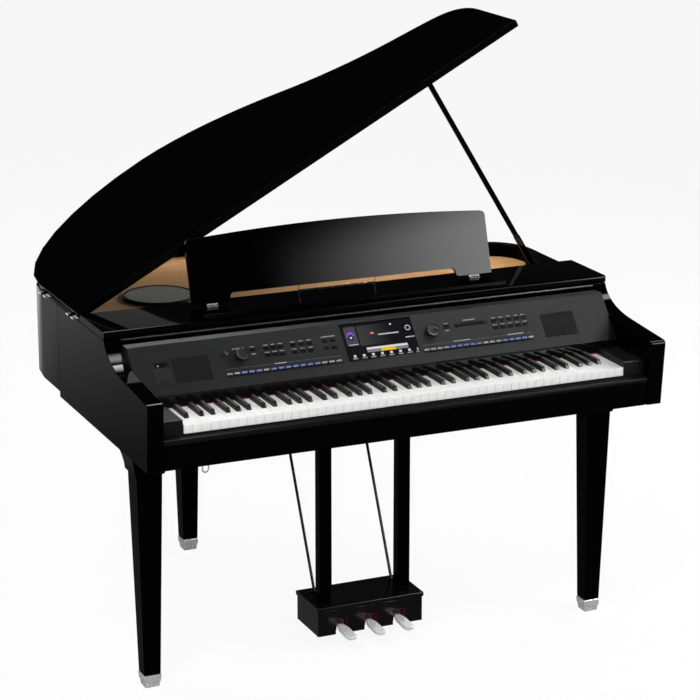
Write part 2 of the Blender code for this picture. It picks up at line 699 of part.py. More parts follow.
def make_prop(stick_material, metal):
    """Stick that holds the lid up, its bracket on the panel and its rest under the lid."""
    pivot, length, heading, foot = prop_places()
    end = PROP_W * 0.62
    tip = math.tan(PROP_LEAN) * PROP_W / 2
    outline = (arc((0, 0), end, math.radians(200), math.radians(340), 6)
               + [(end, length * 0.16), (PROP_W / 2, length * 0.17), (PROP_W / 2, length - 2 * tip),
                  (-PROP_W / 2, length - 0.0002), (-PROP_W / 2, length * 0.17), (-end, length * 0.16)])
    bore = arc((0, 0), PROP_PIN_R + 0.0002, 0, 2 * math.pi, 12)[:-1]
    upright = Matrix(((1, 0, 0, 0), (0, 0, -1, 0), (0, 1, 0, 0), (0, 0, 0, 1)))
    mesh = prism_mesh([outline, bore], PROP_T, upright)
    add_piece("lid_prop", mesh, stick_material, (pivot.x, PROP_Y, pivot.y), (0, -heading, 0))
    half = PROP_T / 2 + PROP_RUN
    ear = ([(end, GAP - PROP_PIVOT_RISE), (end, 0)] + arc((0, 0), end, 0, math.pi, 6)[1:-1]
           + [(-end, 0), (-end, GAP - PROP_PIVOT_RISE)])
    bracket = add_piece("prop_bracket", prism_mesh([ear], 2 * (half + PROP_EAR_T), upright), metal,
                        (pivot.x, PROP_Y, pivot.y))
    room = box_mesh((-0.05, -half, 0.004 - PROP_PIVOT_RISE), (0.05, half, 0.05))
    boolean(bracket, add_tool("bracket_room", room, (pivot.x, PROP_Y, pivot.y)))
    pin = cylinder_mesh(PROP_PIN_R, -half - PROP_EAR_T / 2, half + PROP_EAR_T / 2, 12, upright)
    boolean(bracket, add_tool("prop_pin", pin, (pivot.x, PROP_Y, pivot.y)), 'UNION')
    low = SHELL_TOP + GAP - HINGE_Z
    plate = box_mesh((foot - REST_LEN * 0.6, -0.012, low - GAP - REST_T), (foot + REST_LEN * 0.4, 0.012, low - GAP))
    rest = add_piece("prop_rest", plate, metal, (HINGE_X, PROP_Y, HINGE_Z), (0, -LID_ANGLE, 0))
    stop = box_mesh((foot + PROP_W * 0.56 + 0.001, -0.012, low - GAP - REST_T - 0.008),
                    (foot + REST_LEN * 0.4, 0.012, low - GAP - REST_T + GAP))
    boolean(rest, add_tool("prop_stop", stop, (HINGE_X, PROP_Y, HINGE_Z), (0, -LID_ANGLE, 0)), 'UNION')


def key_layout():
    """Every key as (index, is white, left edge or centre, neighbours that are black)."""
    keys = []
    white = 0
    for index in range(88):
        tone = (index + 9) % 12
        boundary = -KEYBOARD_HALF + white * PITCH
        if tone in BLACK_SHIFT:
            keys.append((index, False, boundary + BLACK_SHIFT[tone], None))
            continue
        before = BLACK_SHIFT.get((tone - 1) % 12) if index > 0 else None
        after = BLACK_SHIFT.get((tone + 1) % 12) if index < 87 else None
        keys.append((index, True, boundary, (before, after)))
        white += 1
    return keys


def white_outline(left, neighbours, back):
    """Plan of a white key, cut away beside its black neighbours."""
    first, last = left + KEY_GAP / 2, left + PITCH - KEY_GAP / 2
    wide = KEY_FRONT + HEAD_LEN
    reach = BLACK_W / 2 + KEY_GAP
    tail_left = first if neighbours[0] is None else left + neighbours[0] + reach
    tail_right = last if neighbours[1] is None else left + PITCH + neighbours[1] - reach
    points = [(first, KEY_FRONT), (last, KEY_FRONT)]
    points += [(last, wide), (tail_right, wide)] if neighbours[1] is not None else []
    points += [(tail_right, back), (tail_left, back)]
    points += [(tail_left, wide), (first, wide)] if neighbours[0] is not None else []
    return points


def black_mesh(back):
    """A black key: a tapered cap in front and a lower stick behind it, centred in X."""
    front = KEY_FRONT + HEAD_LEN + KEY_GAP
    low, top = KEY_TOP - BLACK_FOOT, KEY_TOP + BLACK_RISE
    profile = [(front, low), (front, KEY_TOP), (front + CAP_SLOPE, top - 0.0015), (front + CAP_SLOPE + 0.002, top),
               (front + CAP_LEN - 0.002, top), (front + CAP_LEN, top - 0.003), (front + CAP_LEN, KEY_TOP - 0.0005),
               (back, KEY_TOP - 0.0005), (back, low)]
    mesh = prism_mesh([profile], BLACK_W, IN_YZ)
    for vertex in mesh.vertices:
        if vertex.co.z > top - 0.002:
            vertex.co.x *= BLACK_TAPER
    return mesh


def join_meshes(placed):
    """Meshes that don't touch, moved to their places and kept in one mesh."""
    shape = bmesh.new()
    for mesh, offset in placed:
        piece = bmesh.new()
        piece.from_mesh(mesh)
        bmesh.ops.translate(piece, vec=offset, verts=piece.verts)
        moved = to_mesh(piece)
        shape.from_mesh(moved)
    return to_mesh(shape)


def make_keys(ivory, ebony):
    """Five keys that move from middle C up, and the rest on the two rails that carry them."""
    white_back = KEY_BACK - GAP
    black_back = KEY_BACK + RAIL_T + GAP
    white_middle = KEY_TOP - WHITE_H / 2
    fixed_white, fixed_black = [], []
    for index, is_white, place, neighbours in key_layout():
        free = index - FIRST_FREE_KEY
        if 0 <= free < len(FREE_KEYS):
            name = "key_" + FREE_KEYS[free]
            if is_white:
                pivot = (place + PITCH / 2, white_back, KEY_TOP - WHITE_H)
                mesh = prism_mesh([white_outline(place, neighbours, white_back)], WHITE_H)
                mesh.transform(Matrix.Translation((-pivot[0], -pivot[1], WHITE_H / 2)))
                add_piece(name, mesh, ivory, pivot)
            else:
                pivot = (place, black_back - GAP, KEY_TOP - BLACK_FOOT)
                mesh = black_mesh(black_back - GAP)
                mesh.transform(Matrix.Translation((0, -pivot[1], -pivot[2])))
                add_piece(name, mesh, ebony, pivot)
        elif is_white:
            mesh = prism_mesh([white_outline(place, neighbours, KEY_BACK + 0.002)], WHITE_H)
            fixed_white.append((mesh, (0, 0, white_middle)))
        else:
            fixed_black.append((black_mesh(black_back + 0.002), (place, 0, 0)))
    rail = box_mesh((-KEYBOARD_HALF, KEY_BACK, BED_TOP + GAP),
                    (KEYBOARD_HALF, KEY_BACK + RAIL_T, KEY_TOP - WHITE_RAIL_DROP))
    whites = add_piece("white_keys", rail, ivory)
    boolean(whites, add_tool("fixed_whites", join_meshes(fixed_white)), 'UNION')
    rail = box_mesh((-KEYBOARD_HALF, black_back, BED_TOP + GAP),
                    (KEYBOARD_HALF, black_back + RAIL_T, KEY_TOP - 0.002))
    blacks = add_piece("black_keys", rail, ebony)
    boolean(blacks, add_tool("fixed_blacks", join_meshes(fixed_black)), 'UNION')


def on_panel(across, up=0.0, out=0.0):
    """A point on the sloping control panel: across, up the slope and out of it."""
    return (across, PANEL_Y + up * math.cos(PANEL_TILT) - out * math.sin(PANEL_TILT),
            PANEL_Z + up * math.sin(PANEL_TILT) + out * math.cos(PANEL_TILT))


def button_row(first, pitch, count):
    """Middles of the buttons in one of the lower rows."""
    return [(first + i * pitch, ROW_U) for i in range(count)]


def button_pairs(columns):
    """Middles of the buttons that stand in pairs, one above the other."""
    return [(across, up) for up in UPPER_ROWS for across in columns]


def button_strips():
    """The four moulded button strips, by name."""
    high = UPPER_ROWS[1]
    return {"left_button_row": button_row(*LEFT_ROW),
            "right_button_row": button_row(*RIGHT_ROW),
            "left_button_group": [(LEFT_SINGLE, high)] + button_pairs(LEFT_PAIRS),
            "right_button_group": [(x, high) for x in RIGHT_SINGLES] + button_pairs(RIGHT_PAIRS)}


def make_control_panel(panel_material):
    """Bent plate of the control panel, open for screen, grilles, buttons and dials."""
    cos, sin = math.cos(PANEL_TILT), math.sin(PANEL_TILT)
    top_y, top_z = PANEL_Y + PANEL_LEN * cos, PANEL_Z + PANEL_LEN * sin
    foot = KEY_TOP + FOOT_CLEAR
    back = top_y + PANEL_RETURN
    bend_z = PANEL_Z - PANEL_T * (1 - sin) / cos
    corner_y = PANEL_Y + (top_z - PANEL_T - PANEL_Z) * cos / sin + PANEL_T / sin
    shell = [(PANEL_Y - 0.002, foot), (PANEL_Y, PANEL_Z), (top_y, top_z), (back, top_z),
             (back, (PANEL_Z + top_z) / 2), (PANEL_Y + PANEL_T - 0.002, foot)]
    hollow = [(PANEL_Y + PANEL_T - 0.002, foot), (PANEL_Y + PANEL_T, bend_z), (corner_y, top_z - PANEL_T),
              (back + 0.002, top_z - PANEL_T), (back + 0.002, foot - 0.002), (PANEL_Y + PANEL_T - 0.002, foot - 0.002)]
    panel = add_piece("control_panel", prism_mesh([shell], 2 * (INNER - GAP), IN_YZ), panel_material)
    boolean(panel, add_tool("panel_hollow", prism_mesh([hollow], 2 * (INNER - GAP - PANEL_END_T), IN_YZ)))
    deep = 3 * PANEL_T
    holes = []
    for places in button_strips().values():
        for across, up in places:
            wide, high = BUTTON[0] / 2 + BUTTON_FIT, BUTTON[1] / 2 + BUTTON_FIT
            holes.append(((across - wide, up - high, -deep), (across + wide, up + high, deep)))
    holes.append(((-SCREEN_HALF - GAP, SCREEN_LOW - GAP, -deep), (SCREEN_HALF + GAP, SCREEN_HIGH + GAP, deep)))
    for side in (-1, 1):
        ends = sorted((side * GRILLE_IN, side * GRILLE_OUT))
        holes.append(((ends[0], GRILLE_LOW, -GRILLE_PLATE - GAP), (ends[1], GRILLE_HIGH, deep)))
    track = USB_T - 0.0012
    wide, high = USB_SIZE[0] / 2 + USB_FIT, USB_SIZE[1] / 2 + USB_FIT
    holes.append(((USB[0] - wide, USB[1] - high, -track), (USB[0] + wide, USB[1] + high + USB_TRAVEL, deep)))
    cutter = add_tool("panel_holes", boxes_mesh(holes), on_panel(0), (PANEL_TILT, 0, 0))
    boolean(panel, cutter)
    wide, high = POWER_SIZE[0] / 2 + BUTTON_FIT, POWER_SIZE[1] / 2 + BUTTON_FIT
    power = box_mesh((-wide, -high, -deep), (wide, high, deep))
    boolean(panel, add_tool("power_hole", power, on_panel(*POWER), (PANEL_TILT, 0, 0)))
    for dial in (VOLUME, EFFECT_KNOB, DATA_DIAL):
        hole = cylinder_mesh(SPINDLE_R + SPINDLE_FIT, -deep, deep, 12)
        boolean(panel, add_tool("spindle_hole", hole, on_panel(dial[0], dial[1]), (PANEL_TILT, 0, 0)))


def make_panel_pieces(mats):
    """Everything that sits in the control panel."""
    turn = (PANEL_TILT, 0, 0)
    screen = box_mesh((-SCREEN_HALF, 0, -SCREEN_DEEP), (SCREEN_HALF, SCREEN_HIGH - SCREEN_LOW, SCREEN_PROUD))
    bevel(add_piece("touch_screen", screen, mats["screen"], on_panel(0, SCREEN_LOW), turn), 0.0012, 2)
    for side, name in ((-1, "left_panel_grille"), (1, "right_panel_grille")):
        ends = sorted((side * (GRILLE_IN + GAP), side * (GRILLE_OUT - GAP)))
        plate = box_mesh((ends[0], GRILLE_LOW + GAP, -GRILLE_PLATE), (ends[1], GRILLE_HIGH - GAP, GRILLE_PLATE * 0.3))
        add_piece(name, plate, mats["grille"], on_panel(0), turn)
    for name, places in button_strips().items():
        low_x = min(x for x, up in places) - BUTTON[0] / 2 - WEB_EDGE
        high_x = max(x for x, up in places) + BUTTON[0] / 2 + WEB_EDGE
        low_u = min(up for x, up in places) - BUTTON[1] / 2 - WEB_EDGE
        high_u = max(up for x, up in places) + BUTTON[1] / 2 + WEB_EDGE
        web = box_mesh((low_x, low_u, -PANEL_T - GAP - WEB_T), (high_x, high_u, -PANEL_T - GAP))
        strip = add_piece(name, web, mats["button"], on_panel(0), turn)
        caps = [((x - BUTTON[0] / 2, up - BUTTON[1] / 2, -PANEL_T - GAP - WEB_T / 2),
                 (x + BUTTON[0] / 2, up + BUTTON[1] / 2, BUTTON_PROUD)) for x, up in places]
        boolean(strip, add_tool("button_caps", boxes_mesh(caps), on_panel(0), turn), 'UNION')
    power = box_mesh((-POWER_SIZE[0] / 2, -POWER_SIZE[1] / 2, -POWER_DEEP),
                     (POWER_SIZE[0] / 2, POWER_SIZE[1] / 2, -POWER_SINK))
    flange = box_mesh((-POWER_SIZE[0] / 2 - 0.002, -POWER_SIZE[1] / 2 - 0.002, -POWER_DEEP - 0.001),
                      (POWER_SIZE[0] / 2 + 0.002, POWER_SIZE[1] / 2 + 0.002, -PANEL_T - GAP))
    button = add_piece("power_button", power, mats["button"], on_panel(*POWER), turn)
    boolean(button, add_tool("power_flange", flange, on_panel(*POWER), turn), 'UNION')
    cover = box_mesh((-USB_SIZE[0] / 2, -USB_SIZE[1] / 2, -USB_T + 0.0012 + GAP),
                     (USB_SIZE[0] / 2, USB_SIZE[1] / 2, 0.0012))
    cover = add_piece("usb_cover", cover, mats["cover"], on_panel(*USB), turn)
    grips = [((-0.012, i * 0.003 - 0.0175, 0.0008), (0.012, i * 0.003 - 0.0160, 0.0012 + USB_GRIP)) for i in range(4)]
    boolean(cover, add_tool("usb_grips", boxes_mesh(grips), on_panel(*USB), turn), 'UNION')
    for name, dial in (("volume_dial", VOLUME), ("effect_knob", EFFECT_KNOB), ("data_dial", DATA_DIAL)):
        radius, height = dial[2], dial[3]
        turned(name, [(0, height - KNOB_SINK), (radius * 0.80, height - KNOB_SINK), (radius * 0.86, height),
                      (radius * 0.94, height), (radius, height - 0.0012), (radius, GAP), (SPINDLE_R, GAP),
                      (SPINDLE_R, -SPINDLE_LEN), (0, -SPINDLE_LEN)],
               mats["dial"], 20, on_panel(dial[0], dial[1]), turn)


def make_key_cover(material):
    """Curved key cover that runs out from under the top board, with its front lip."""
    outer = arc((0, 0), COVER_R, math.pi / 2, math.pi / 2 - COVER_SPAN, COVER_STEPS)
    inner = arc((0, 0), COVER_R - COVER_T, math.pi / 2 - COVER_SPAN, math.pi / 2, COVER_STEPS)
    low = COVER_R - COVER_T
    lip = [(-LIP_LEN * 0.8, low), (-LIP_LEN, low + LIP_H * 0.25), (-LIP_LEN, low + LIP_H * 0.75),
           (-LIP_LEN * 0.8, low + LIP_H), (0, low + LIP_H)]
    ring = outer + inner + lip
    mesh = prism_mesh([ring], 2 * (INNER - COVER_SIDE), IN_YZ)
    add_piece("key_cover", mesh, material, (0, COVER_AXIS_Y, COVER_TOP - COVER_R))


def desk_outline():
    """Music desk seen square on: arched top, rounded corners and a long low notch."""
    side_h = DESK_H - DESK_ARCH
    base = DESK_HINGE_R + 0.0005
    arch_r = (DESK_HALF ** 2 + DESK_ARCH ** 2) / (2 * DESK_ARCH)
    spread = math.asin((DESK_HALF - DESK_CORNER) / arch_r)
    arch = arc((0, DESK_H - arch_r), arch_r, math.pi / 2 - spread, math.pi / 2 + spread, 14)
    right = arc((DESK_HALF - DESK_CORNER, side_h - DESK_CORNER), DESK_CORNER, 0, math.radians(80), 4)
    left = [(-x, z) for x, z in reversed(right)]
    corner = 0.010
    notch = (arc((-NOTCH_HALF - corner, base + corner), corner, math.radians(-90), 0, 3)
             + arc((-NOTCH_HALF + corner, NOTCH_H - corner), corner, math.pi, math.pi / 2, 4)
             + arc((NOTCH_HALF - corner, NOTCH_H - corner), corner, math.pi / 2, 0, 4)
             + arc((NOTCH_HALF + corner, base + corner), corner, math.pi, math.radians(270), 3))
    return [(-DESK_HALF, base)] + notch + [(DESK_HALF, base)] + right + arch + left


def make_music_desk(material, metal):
    """Music desk, leaning back on two hinges, with a wire stay behind it."""
    axis = Vector((0, DESK_Y, TOP_Z + DESK_RISE))
    upright = Matrix(((1, 0, 0, 0), (0, 0, -1, 0), (0, 1, 0, 0), (0, 0, 0, 1)))
    mesh = prism_mesh([desk_outline()], DESK_T, upright)
    mesh.transform(Matrix.Translation((0, DESK_T / 2, 0)))
    desk = add_piece("music_desk", mesh, material, axis, (-DESK_LEAN, 0, 0))
    back = DESK_T + STAY_OFF
    clips = [((side * STAY_HALF - 0.004 - 0.005 * side, DESK_T - 0.001, STAY_PIVOT - 0.004),
              (side * STAY_HALF + 0.004 - 0.005 * side, back + 0.004, STAY_PIVOT + 0.004)) for side in (-1, 1)]
    boolean(desk, add_tool("stay_clips", boxes_mesh(clips), axis, (-DESK_LEAN, 0, 0)), 'UNION')
    bore = cylinder_mesh(STAY_WIRE + GAP, -STAY_HALF - 0.001, STAY_HALF + 0.001, 12,
                         Matrix.Translation((0, back, STAY_PIVOT)) @ IN_YZ)
    boolean(desk, add_tool("stay_bore", bore, axis, (-DESK_LEAN, 0, 0)))
    for side, name in ((-1, "left_desk_hinge"), (1, "right_desk_hinge")):
        foot = box_mesh((-DESK_HINGE_LEN / 2, -0.007, GAP - DESK_RISE),
                        (DESK_HINGE_LEN / 2, 0.007, GAP - DESK_RISE + DESK_FOOT_T))
        hinge = add_piece(name, foot, metal, axis + Vector((side * DESK_HINGE_X, 0, 0)))
        barrel = cylinder_mesh(DESK_HINGE_R, -DESK_HINGE_LEN / 2, DESK_HINGE_LEN / 2, 14, IN_YZ)
        boolean(hinge, add_tool("desk_barrel", barrel, axis + Vector((side * DESK_HINGE_X, 0, 0))), 'UNION')
    cos, sin = math.cos(DESK_LEAN), math.sin(DESK_LEAN)
    pivot = axis + Vector((0, STAY_PIVOT * sin + back * cos, STAY_PIVOT * cos - back * sin))
    foot = Vector((0, STAY_FOOT_Y, TOP_Z + STAY_WIRE + GAP)) - pivot
    inner = STAY_HALF - 0.012
    legs = [Vector((-inner, 0, 0)), Vector((-STAY_HALF, 0, 0)), Vector((-STAY_HALF, foot.y, foot.z)),
            Vector((STAY_HALF, foot.y, foot.z)), Vector((STAY_HALF, 0, 0)), Vector((inner, 0, 0))]
    add_piece("music_desk_stay", wire_mesh(legs, STAY_WIRE), metal, pivot)


def square_loft(name, stations, material, location):
    """A square post through (height, half width) stations, from top to bottom."""
    shape = bmesh.new()
    rings = []
    for height, half in stations:
        corners = ((-half, -half), (half, -half), (half, half), (-half, half))
        rings.append([shape.verts.new((x, y, height)) for x, y in corners])
        if len(rings) > 1:
            edges = [shape.edges.get((ring[i - 1], ring[i])) or shape.edges.new((ring[i - 1], ring[i]))
                     for ring in rings[-2:] for i in range(4)]
            bmesh.ops.bridge_loops(shape, edges=edges)
    shape.faces.new(rings[0])
    shape.faces.new(rings[-1])
    bmesh.ops.recalc_face_normals(shape, faces=shape.faces)
    return add_piece(name, to_mesh(shape), material, location)


def make_legs(material, metal):
    """Three tapered square legs, each with a two-step metal foot."""
    rear_y = DEPTH - REAR_LEG_FROM_BACK
    for name, x, y, top in (("left_leg", -FRONT_LEG_X, FRONT_LEG_Y, CASE_BOTTOM - GAP),
                            ("right_leg", FRONT_LEG_X, FRONT_LEG_Y, CASE_BOTTOM - GAP),
                            ("rear_leg", REAR_LEG_X, rear_y, RIM_BOTTOM - GAP)):
        block = [(top - LEG_BLOCK_H * t, LEG_BLOCK_FOOT + (LEG_TOP - LEG_BLOCK_FOOT) * (1 - t) ** 1.6)
                 for t in (0, 0.25, 0.5, 0.75, 1)]
        foot = FERRULE_H + GAP
        leg = square_loft(name, block + [(block[-1][0] - 0.005, LEG_NECK), (foot, LEG_ANKLE)], material, (x, y, 0))
        bevel(leg, 0.0015, 1, 50)
        step = FERRULE_H * 0.55
        stations = [(FERRULE_H, LEG_ANKLE + 0.0005), (FERRULE_H - 0.002, LEG_ANKLE + 0.0012),
                    (FERRULE_H - step, LEG_ANKLE - 0.0005), (FERRULE_H - step - 0.0005, LEG_ANKLE - 0.0020),
                    (0, LEG_ANKLE - 0.0035)]
        square_loft(name.replace("leg", "ferrule"), stations, metal, (x, y, 0))


def pedal_outline():
    """A pedal in plan from its pivot towards the player: thin neck and broad rounded toe."""
    tip = -PEDAL_REACH
    start_toe = tip + PEDAL_TOE_LEN
    side = [(PEDAL_NECK, 0.006), (PEDAL_NECK, start_toe + 0.020)]
    swell = interpolate_bezier(Vector((PEDAL_NECK, start_toe + 0.020)), Vector((PEDAL_NECK, start_toe)),
                               Vector((PEDAL_TOE, start_toe + 0.005)), Vector((PEDAL_TOE, start_toe - 0.025)), 6)
    toe = arc((0, tip + PEDAL_TOE), PEDAL_TOE, 0, -math.pi / 2, 5)
    right = side + [tuple(point) for point in swell[1:]] + toe
    return right + [(-x, y) for x, y in reversed(right[:-1])]


def make_lyre(case_material, rod_material, metal):
    """Pedal box on two posts, two slanting braces and three pedals."""
    low = (-BOX_HALF, BOX_FRONT, BOX_LOW)
    box = add_piece("pedal_box", box_mesh(low, (BOX_HALF, BOX_BACK, BOX_HIGH - 0.002)), case_material)
    cap = box_mesh((-BOX_HALF - BOX_LIP, BOX_FRONT - BOX_LIP, BOX_HIGH - BOX_LIP_H),
                   (BOX_HALF + BOX_LIP, BOX_BACK + BOX_LIP, BOX_HIGH))
    boolean(box, add_tool("box_cap", cap), 'UNION')
    places = (("left_pedal", -PEDAL_PITCH), ("middle_pedal", 0.0), ("right_pedal", PEDAL_PITCH))
    slots = [((x - SLOT_HALF, BOX_FRONT - 0.01, BOX_LOW - 0.01), (x + SLOT_HALF, SLOT_BACK, SLOT_HIGH))
             for name, x in places]
    boolean(box, add_tool("pedal_slots", boxes_mesh(slots)))
    for name, x in places:
        pin = cylinder_mesh(PEDAL_PIN_R, -SLOT_HALF - 0.002, SLOT_HALF + 0.002, 16, IN_YZ)
        boolean(box, add_tool("pedal_pin", pin, (x, PEDAL_PIVOT_Y, PEDAL_Z)), 'UNION')
    for name, x in places:
        mesh = prism_mesh([pedal_outline()], PEDAL_H)
        pedal = add_piece(name, mesh, metal, (x, PEDAL_PIVOT_Y, PEDAL_Z), (PEDAL_DROP, 0, 0))
        boss = box_mesh((-SLOT_HALF + 0.0008, -0.008, -0.0075), (SLOT_HALF - 0.0008, 0.008, 0.0075))
        boolean(pedal, add_tool("pedal_boss", boss, (x, PEDAL_PIVOT_Y, PEDAL_Z), (PEDAL_DROP, 0, 0)), 'UNION')
        bore = cylinder_mesh(PEDAL_PIN_R + PEDAL_PIN_FIT, -0.03, 0.03, 16, IN_YZ)
        boolean(pedal, add_tool("pedal_bore", bore, (x, PEDAL_PIVOT_Y, PEDAL_Z), (PEDAL_DROP, 0, 0)))
        bevel(pedal, 0.001, 1)
    for side, name in ((-1, "left"), (1, "right")):
        middle = side * POST_X
        post = box_mesh((middle - POST_W / 2, POST_FRONT, BOX_HIGH + GAP),
                        (middle + POST_W / 2, POST_FRONT + POST_W, CASE_BOTTOM - GAP))
        bevel(add_piece(name + "_lyre_post", post, case_material), 0.002, 1)
        foot = Vector((middle, BRACE_FOOT_Y, BOX_HIGH + GAP))
        head = Vector((middle, BRACE_TOP_Y, RIM_BOTTOM - GAP))
        run = (head - foot).normalized() * 0.001
        plate = cylinder_mesh(BRACE_PLATE_R, 0, BRACE_PLATE_T, 16)
        brace = add_piece(name + "_brace", plate, rod_material, foot)
        rod = wire_mesh([foot + run + Vector((0, 0, 0.002)), head - run - Vector((0, 0, 0.002))], BRACE_R, 3)
        boolean(brace, add_tool("brace_rod", rod), 'UNION')
        upper = cylinder_mesh(BRACE_PLATE_R, -BRACE_PLATE_T, 0, 16)
        boolean(brace, add_tool("brace_plate", upper, head), 'UNION')


def make_hook(metal):
    """Wire hook for headphones under the front of the key bed."""
    top = CASE_BOTTOM - GAP
    half = HOOK_W / 2
    bend = arc((0, -HOOK_DROP), half, math.pi, 2 * math.pi, 6)
    points = [Vector((-half, 0, 0))] + [Vector((x, 0, z)) for x, z in bend] + [Vector((half, 0, -HOOK_DROP * 0.5))]
    plate = box_mesh((-half - 0.006, -0.008, -0.0025), (half + 0.002, 0.008, 0))
    hook = add_piece("headphone_hook", plate, metal, (HOOK_X, HOOK_Y, top))
    bar = [point + Vector((0, 0, -0.001)) for point in points]
    boolean(hook, add_tool("hook_wire", wire_mesh(bar, HOOK_WIRE, 1), (HOOK_X, HOOK_Y, top)), 'UNION')


def centre_on_origin():
    """One empty carries the piano, so that the box of the whole stands over the origin."""
    left = HINGE_X - HINGE_R
    right = HALF
    base = bpy.data.objects.new("piano_base", None)
    base.location = (-(left + right) / 2, -DEPTH / 2, 0)
    parts.objects.link(base)
    for item in list(parts.objects) + list(cutters.objects):
        if item is not base:
            item.parent = base


def build():
    """Make the whole piano."""
    start()
    black = make_material("polished black", (0.012, 0.012, 0.013), 0.06)
    inside = make_material("inner board", (0.10, 0.075, 0.055), 0.6)
    wood = make_material("pale wood", (0.55, 0.36, 0.20), 0.38)
    silver = make_material("satin metal", (0.72, 0.72, 0.74), 0.28, 1.0)
    dark_metal = make_material("black rod", (0.03, 0.03, 0.03), 0.35, 1.0)
    panel_grey = make_material("satin dark grey", (0.045, 0.046, 0.050), 0.42)
    slip_grey = make_material("key slip black", (0.03, 0.03, 0.032), 0.25)
    mats = {"screen": make_material("screen glass", (0.015, 0.015, 0.018), 0.10),
            "grille": make_material("panel grille", (0.035, 0.035, 0.038), 0.55),
            "button": make_material("button plastic", (0.11, 0.11, 0.12), 0.45),
            "cover": make_material("usb cover", (0.09, 0.09, 0.095), 0.5),
            "dial": make_material("dial plastic", (0.03, 0.03, 0.033), 0.35)}
    make_side_panels(black)
    make_rim(black, inside)
    make_floor_boards(black, inside)
    make_front(black, slip_grey)
    make_top_board(black)
    make_sound_panel(wood, make_material("speaker black", (0.02, 0.02, 0.02), 0.6),
                     make_material("silver mesh", (0.42, 0.42, 0.43), 0.5, 0.6))
    make_lid(black, silver)
    make_prop(black, dark_metal)
    make_keys(make_material("ivory white", (0.88, 0.88, 0.85), 0.3), make_material("ebony black", (0.02, 0.02, 0.02), 0.35))
    make_control_panel(panel_grey)
    make_panel_pieces(mats)
    make_key_cover(make_material("key cover black", (0.02, 0.02, 0.022), 0.2))
    make_music_desk(black, silver)
    make_legs(black, silver)
    make_lyre(black, dark_metal, silver)
    make_hook(silver)
    centre_on_origin()


build()
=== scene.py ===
# %% [markdown]
# # A digital grand piano in polished black
#
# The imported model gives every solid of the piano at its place. This script gives those
# solids their finish and rounds their edges, which a plain solid leaves as sharp as a
# knife. It adds what the solids don't hold: felt, the grooves of the dials, a small lamp
# and a rubber stop. Then it builds the studio: a pale floor, soft lamps, and the cards
# that the black lacquer mirrors.

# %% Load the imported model
import json
import math

import bmesh
import bpy
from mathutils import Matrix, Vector

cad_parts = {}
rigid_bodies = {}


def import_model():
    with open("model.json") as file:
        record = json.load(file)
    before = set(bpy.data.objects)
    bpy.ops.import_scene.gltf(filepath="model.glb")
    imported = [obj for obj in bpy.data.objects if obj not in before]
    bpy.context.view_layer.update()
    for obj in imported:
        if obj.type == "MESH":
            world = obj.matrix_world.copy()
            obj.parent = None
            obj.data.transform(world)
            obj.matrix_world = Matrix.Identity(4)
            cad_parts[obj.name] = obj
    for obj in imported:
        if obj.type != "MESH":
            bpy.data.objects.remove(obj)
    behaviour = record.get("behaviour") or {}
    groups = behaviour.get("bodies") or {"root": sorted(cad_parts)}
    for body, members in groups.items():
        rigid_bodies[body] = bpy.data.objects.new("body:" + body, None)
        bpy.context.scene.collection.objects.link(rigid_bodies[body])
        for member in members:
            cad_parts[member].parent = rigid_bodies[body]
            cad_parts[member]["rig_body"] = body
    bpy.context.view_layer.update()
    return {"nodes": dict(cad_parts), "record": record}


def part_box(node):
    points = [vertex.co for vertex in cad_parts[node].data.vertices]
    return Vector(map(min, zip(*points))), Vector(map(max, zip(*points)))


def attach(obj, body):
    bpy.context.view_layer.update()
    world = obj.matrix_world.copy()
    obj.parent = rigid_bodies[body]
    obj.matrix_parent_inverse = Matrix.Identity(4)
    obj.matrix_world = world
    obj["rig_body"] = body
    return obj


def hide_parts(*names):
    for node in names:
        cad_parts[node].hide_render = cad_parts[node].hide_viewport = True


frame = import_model()
nodes = frame["nodes"]

# %% [markdown]
# ## Camera
# The photograph was taken from the left and above, with a long lens. The camera's place
# and its two angles were fitted to the corners of the case, the keyboard and the legs.
# It has no roll and no shift, so the same lens also serves the other views.

# %% Camera
CAMERA_PLACE = (-2.5367, -5.9323, 2.5769)
CAMERA_PITCH = 16.026
CAMERA_YAW = 23.887
LENS_MM = 126.56
SENSOR_MM = 36.0
FARTHEST = 60.0

bpy.ops.object.camera_add(
    location=CAMERA_PLACE,
    rotation=(math.radians(90 - CAMERA_PITCH), 0, -math.radians(CAMERA_YAW)))
camera = bpy.context.object
camera.data.lens = LENS_MM
camera.data.sensor_width = SENSOR_MM
camera.data.clip_end = FARTHEST
bpy.context.scene.camera = camera

# %% [markdown]
# ## Shader maths as Python expressions
# Node trees are easier to read as formulas. A small class wraps one output socket, and
# adding or multiplying two of them adds the Math node that does it. A comparison gives
# 1 where it holds and 0 elsewhere, so a product of comparisons is a drawn shape.

# %% Wire and Finish
class Wire:
    """One value in a node tree."""

    def __init__(self, finish, socket):
        self.finish = finish
        self.socket = socket

    def maths(self, operation, *values):
        return self.finish.node("ShaderNodeMath", {"operation": operation}, *values)

    def __add__(self, other):
        return self.maths('ADD', self, other)

    __radd__ = __add__

    def __sub__(self, other):
        return self.maths('SUBTRACT', self, other)

    def __rsub__(self, other):
        return self.maths('SUBTRACT', other, self)

    def __mul__(self, other):
        return self.maths('MULTIPLY', self, other)

    def __truediv__(self, other):
        return self.maths('DIVIDE', self, other)

    def __gt__(self, other):
        return self.maths('GREATER_THAN', self, other)

    def __lt__(self, other):
        return self.maths('LESS_THAN', self, other)

    def wrap(self, size):
        """The remainder inside one cell of a repeating pattern."""
        return self.maths('FLOORED_MODULO', self, size)

    def size(self):
        """The value without its sign."""
        return self.maths('ABSOLUTE', self)


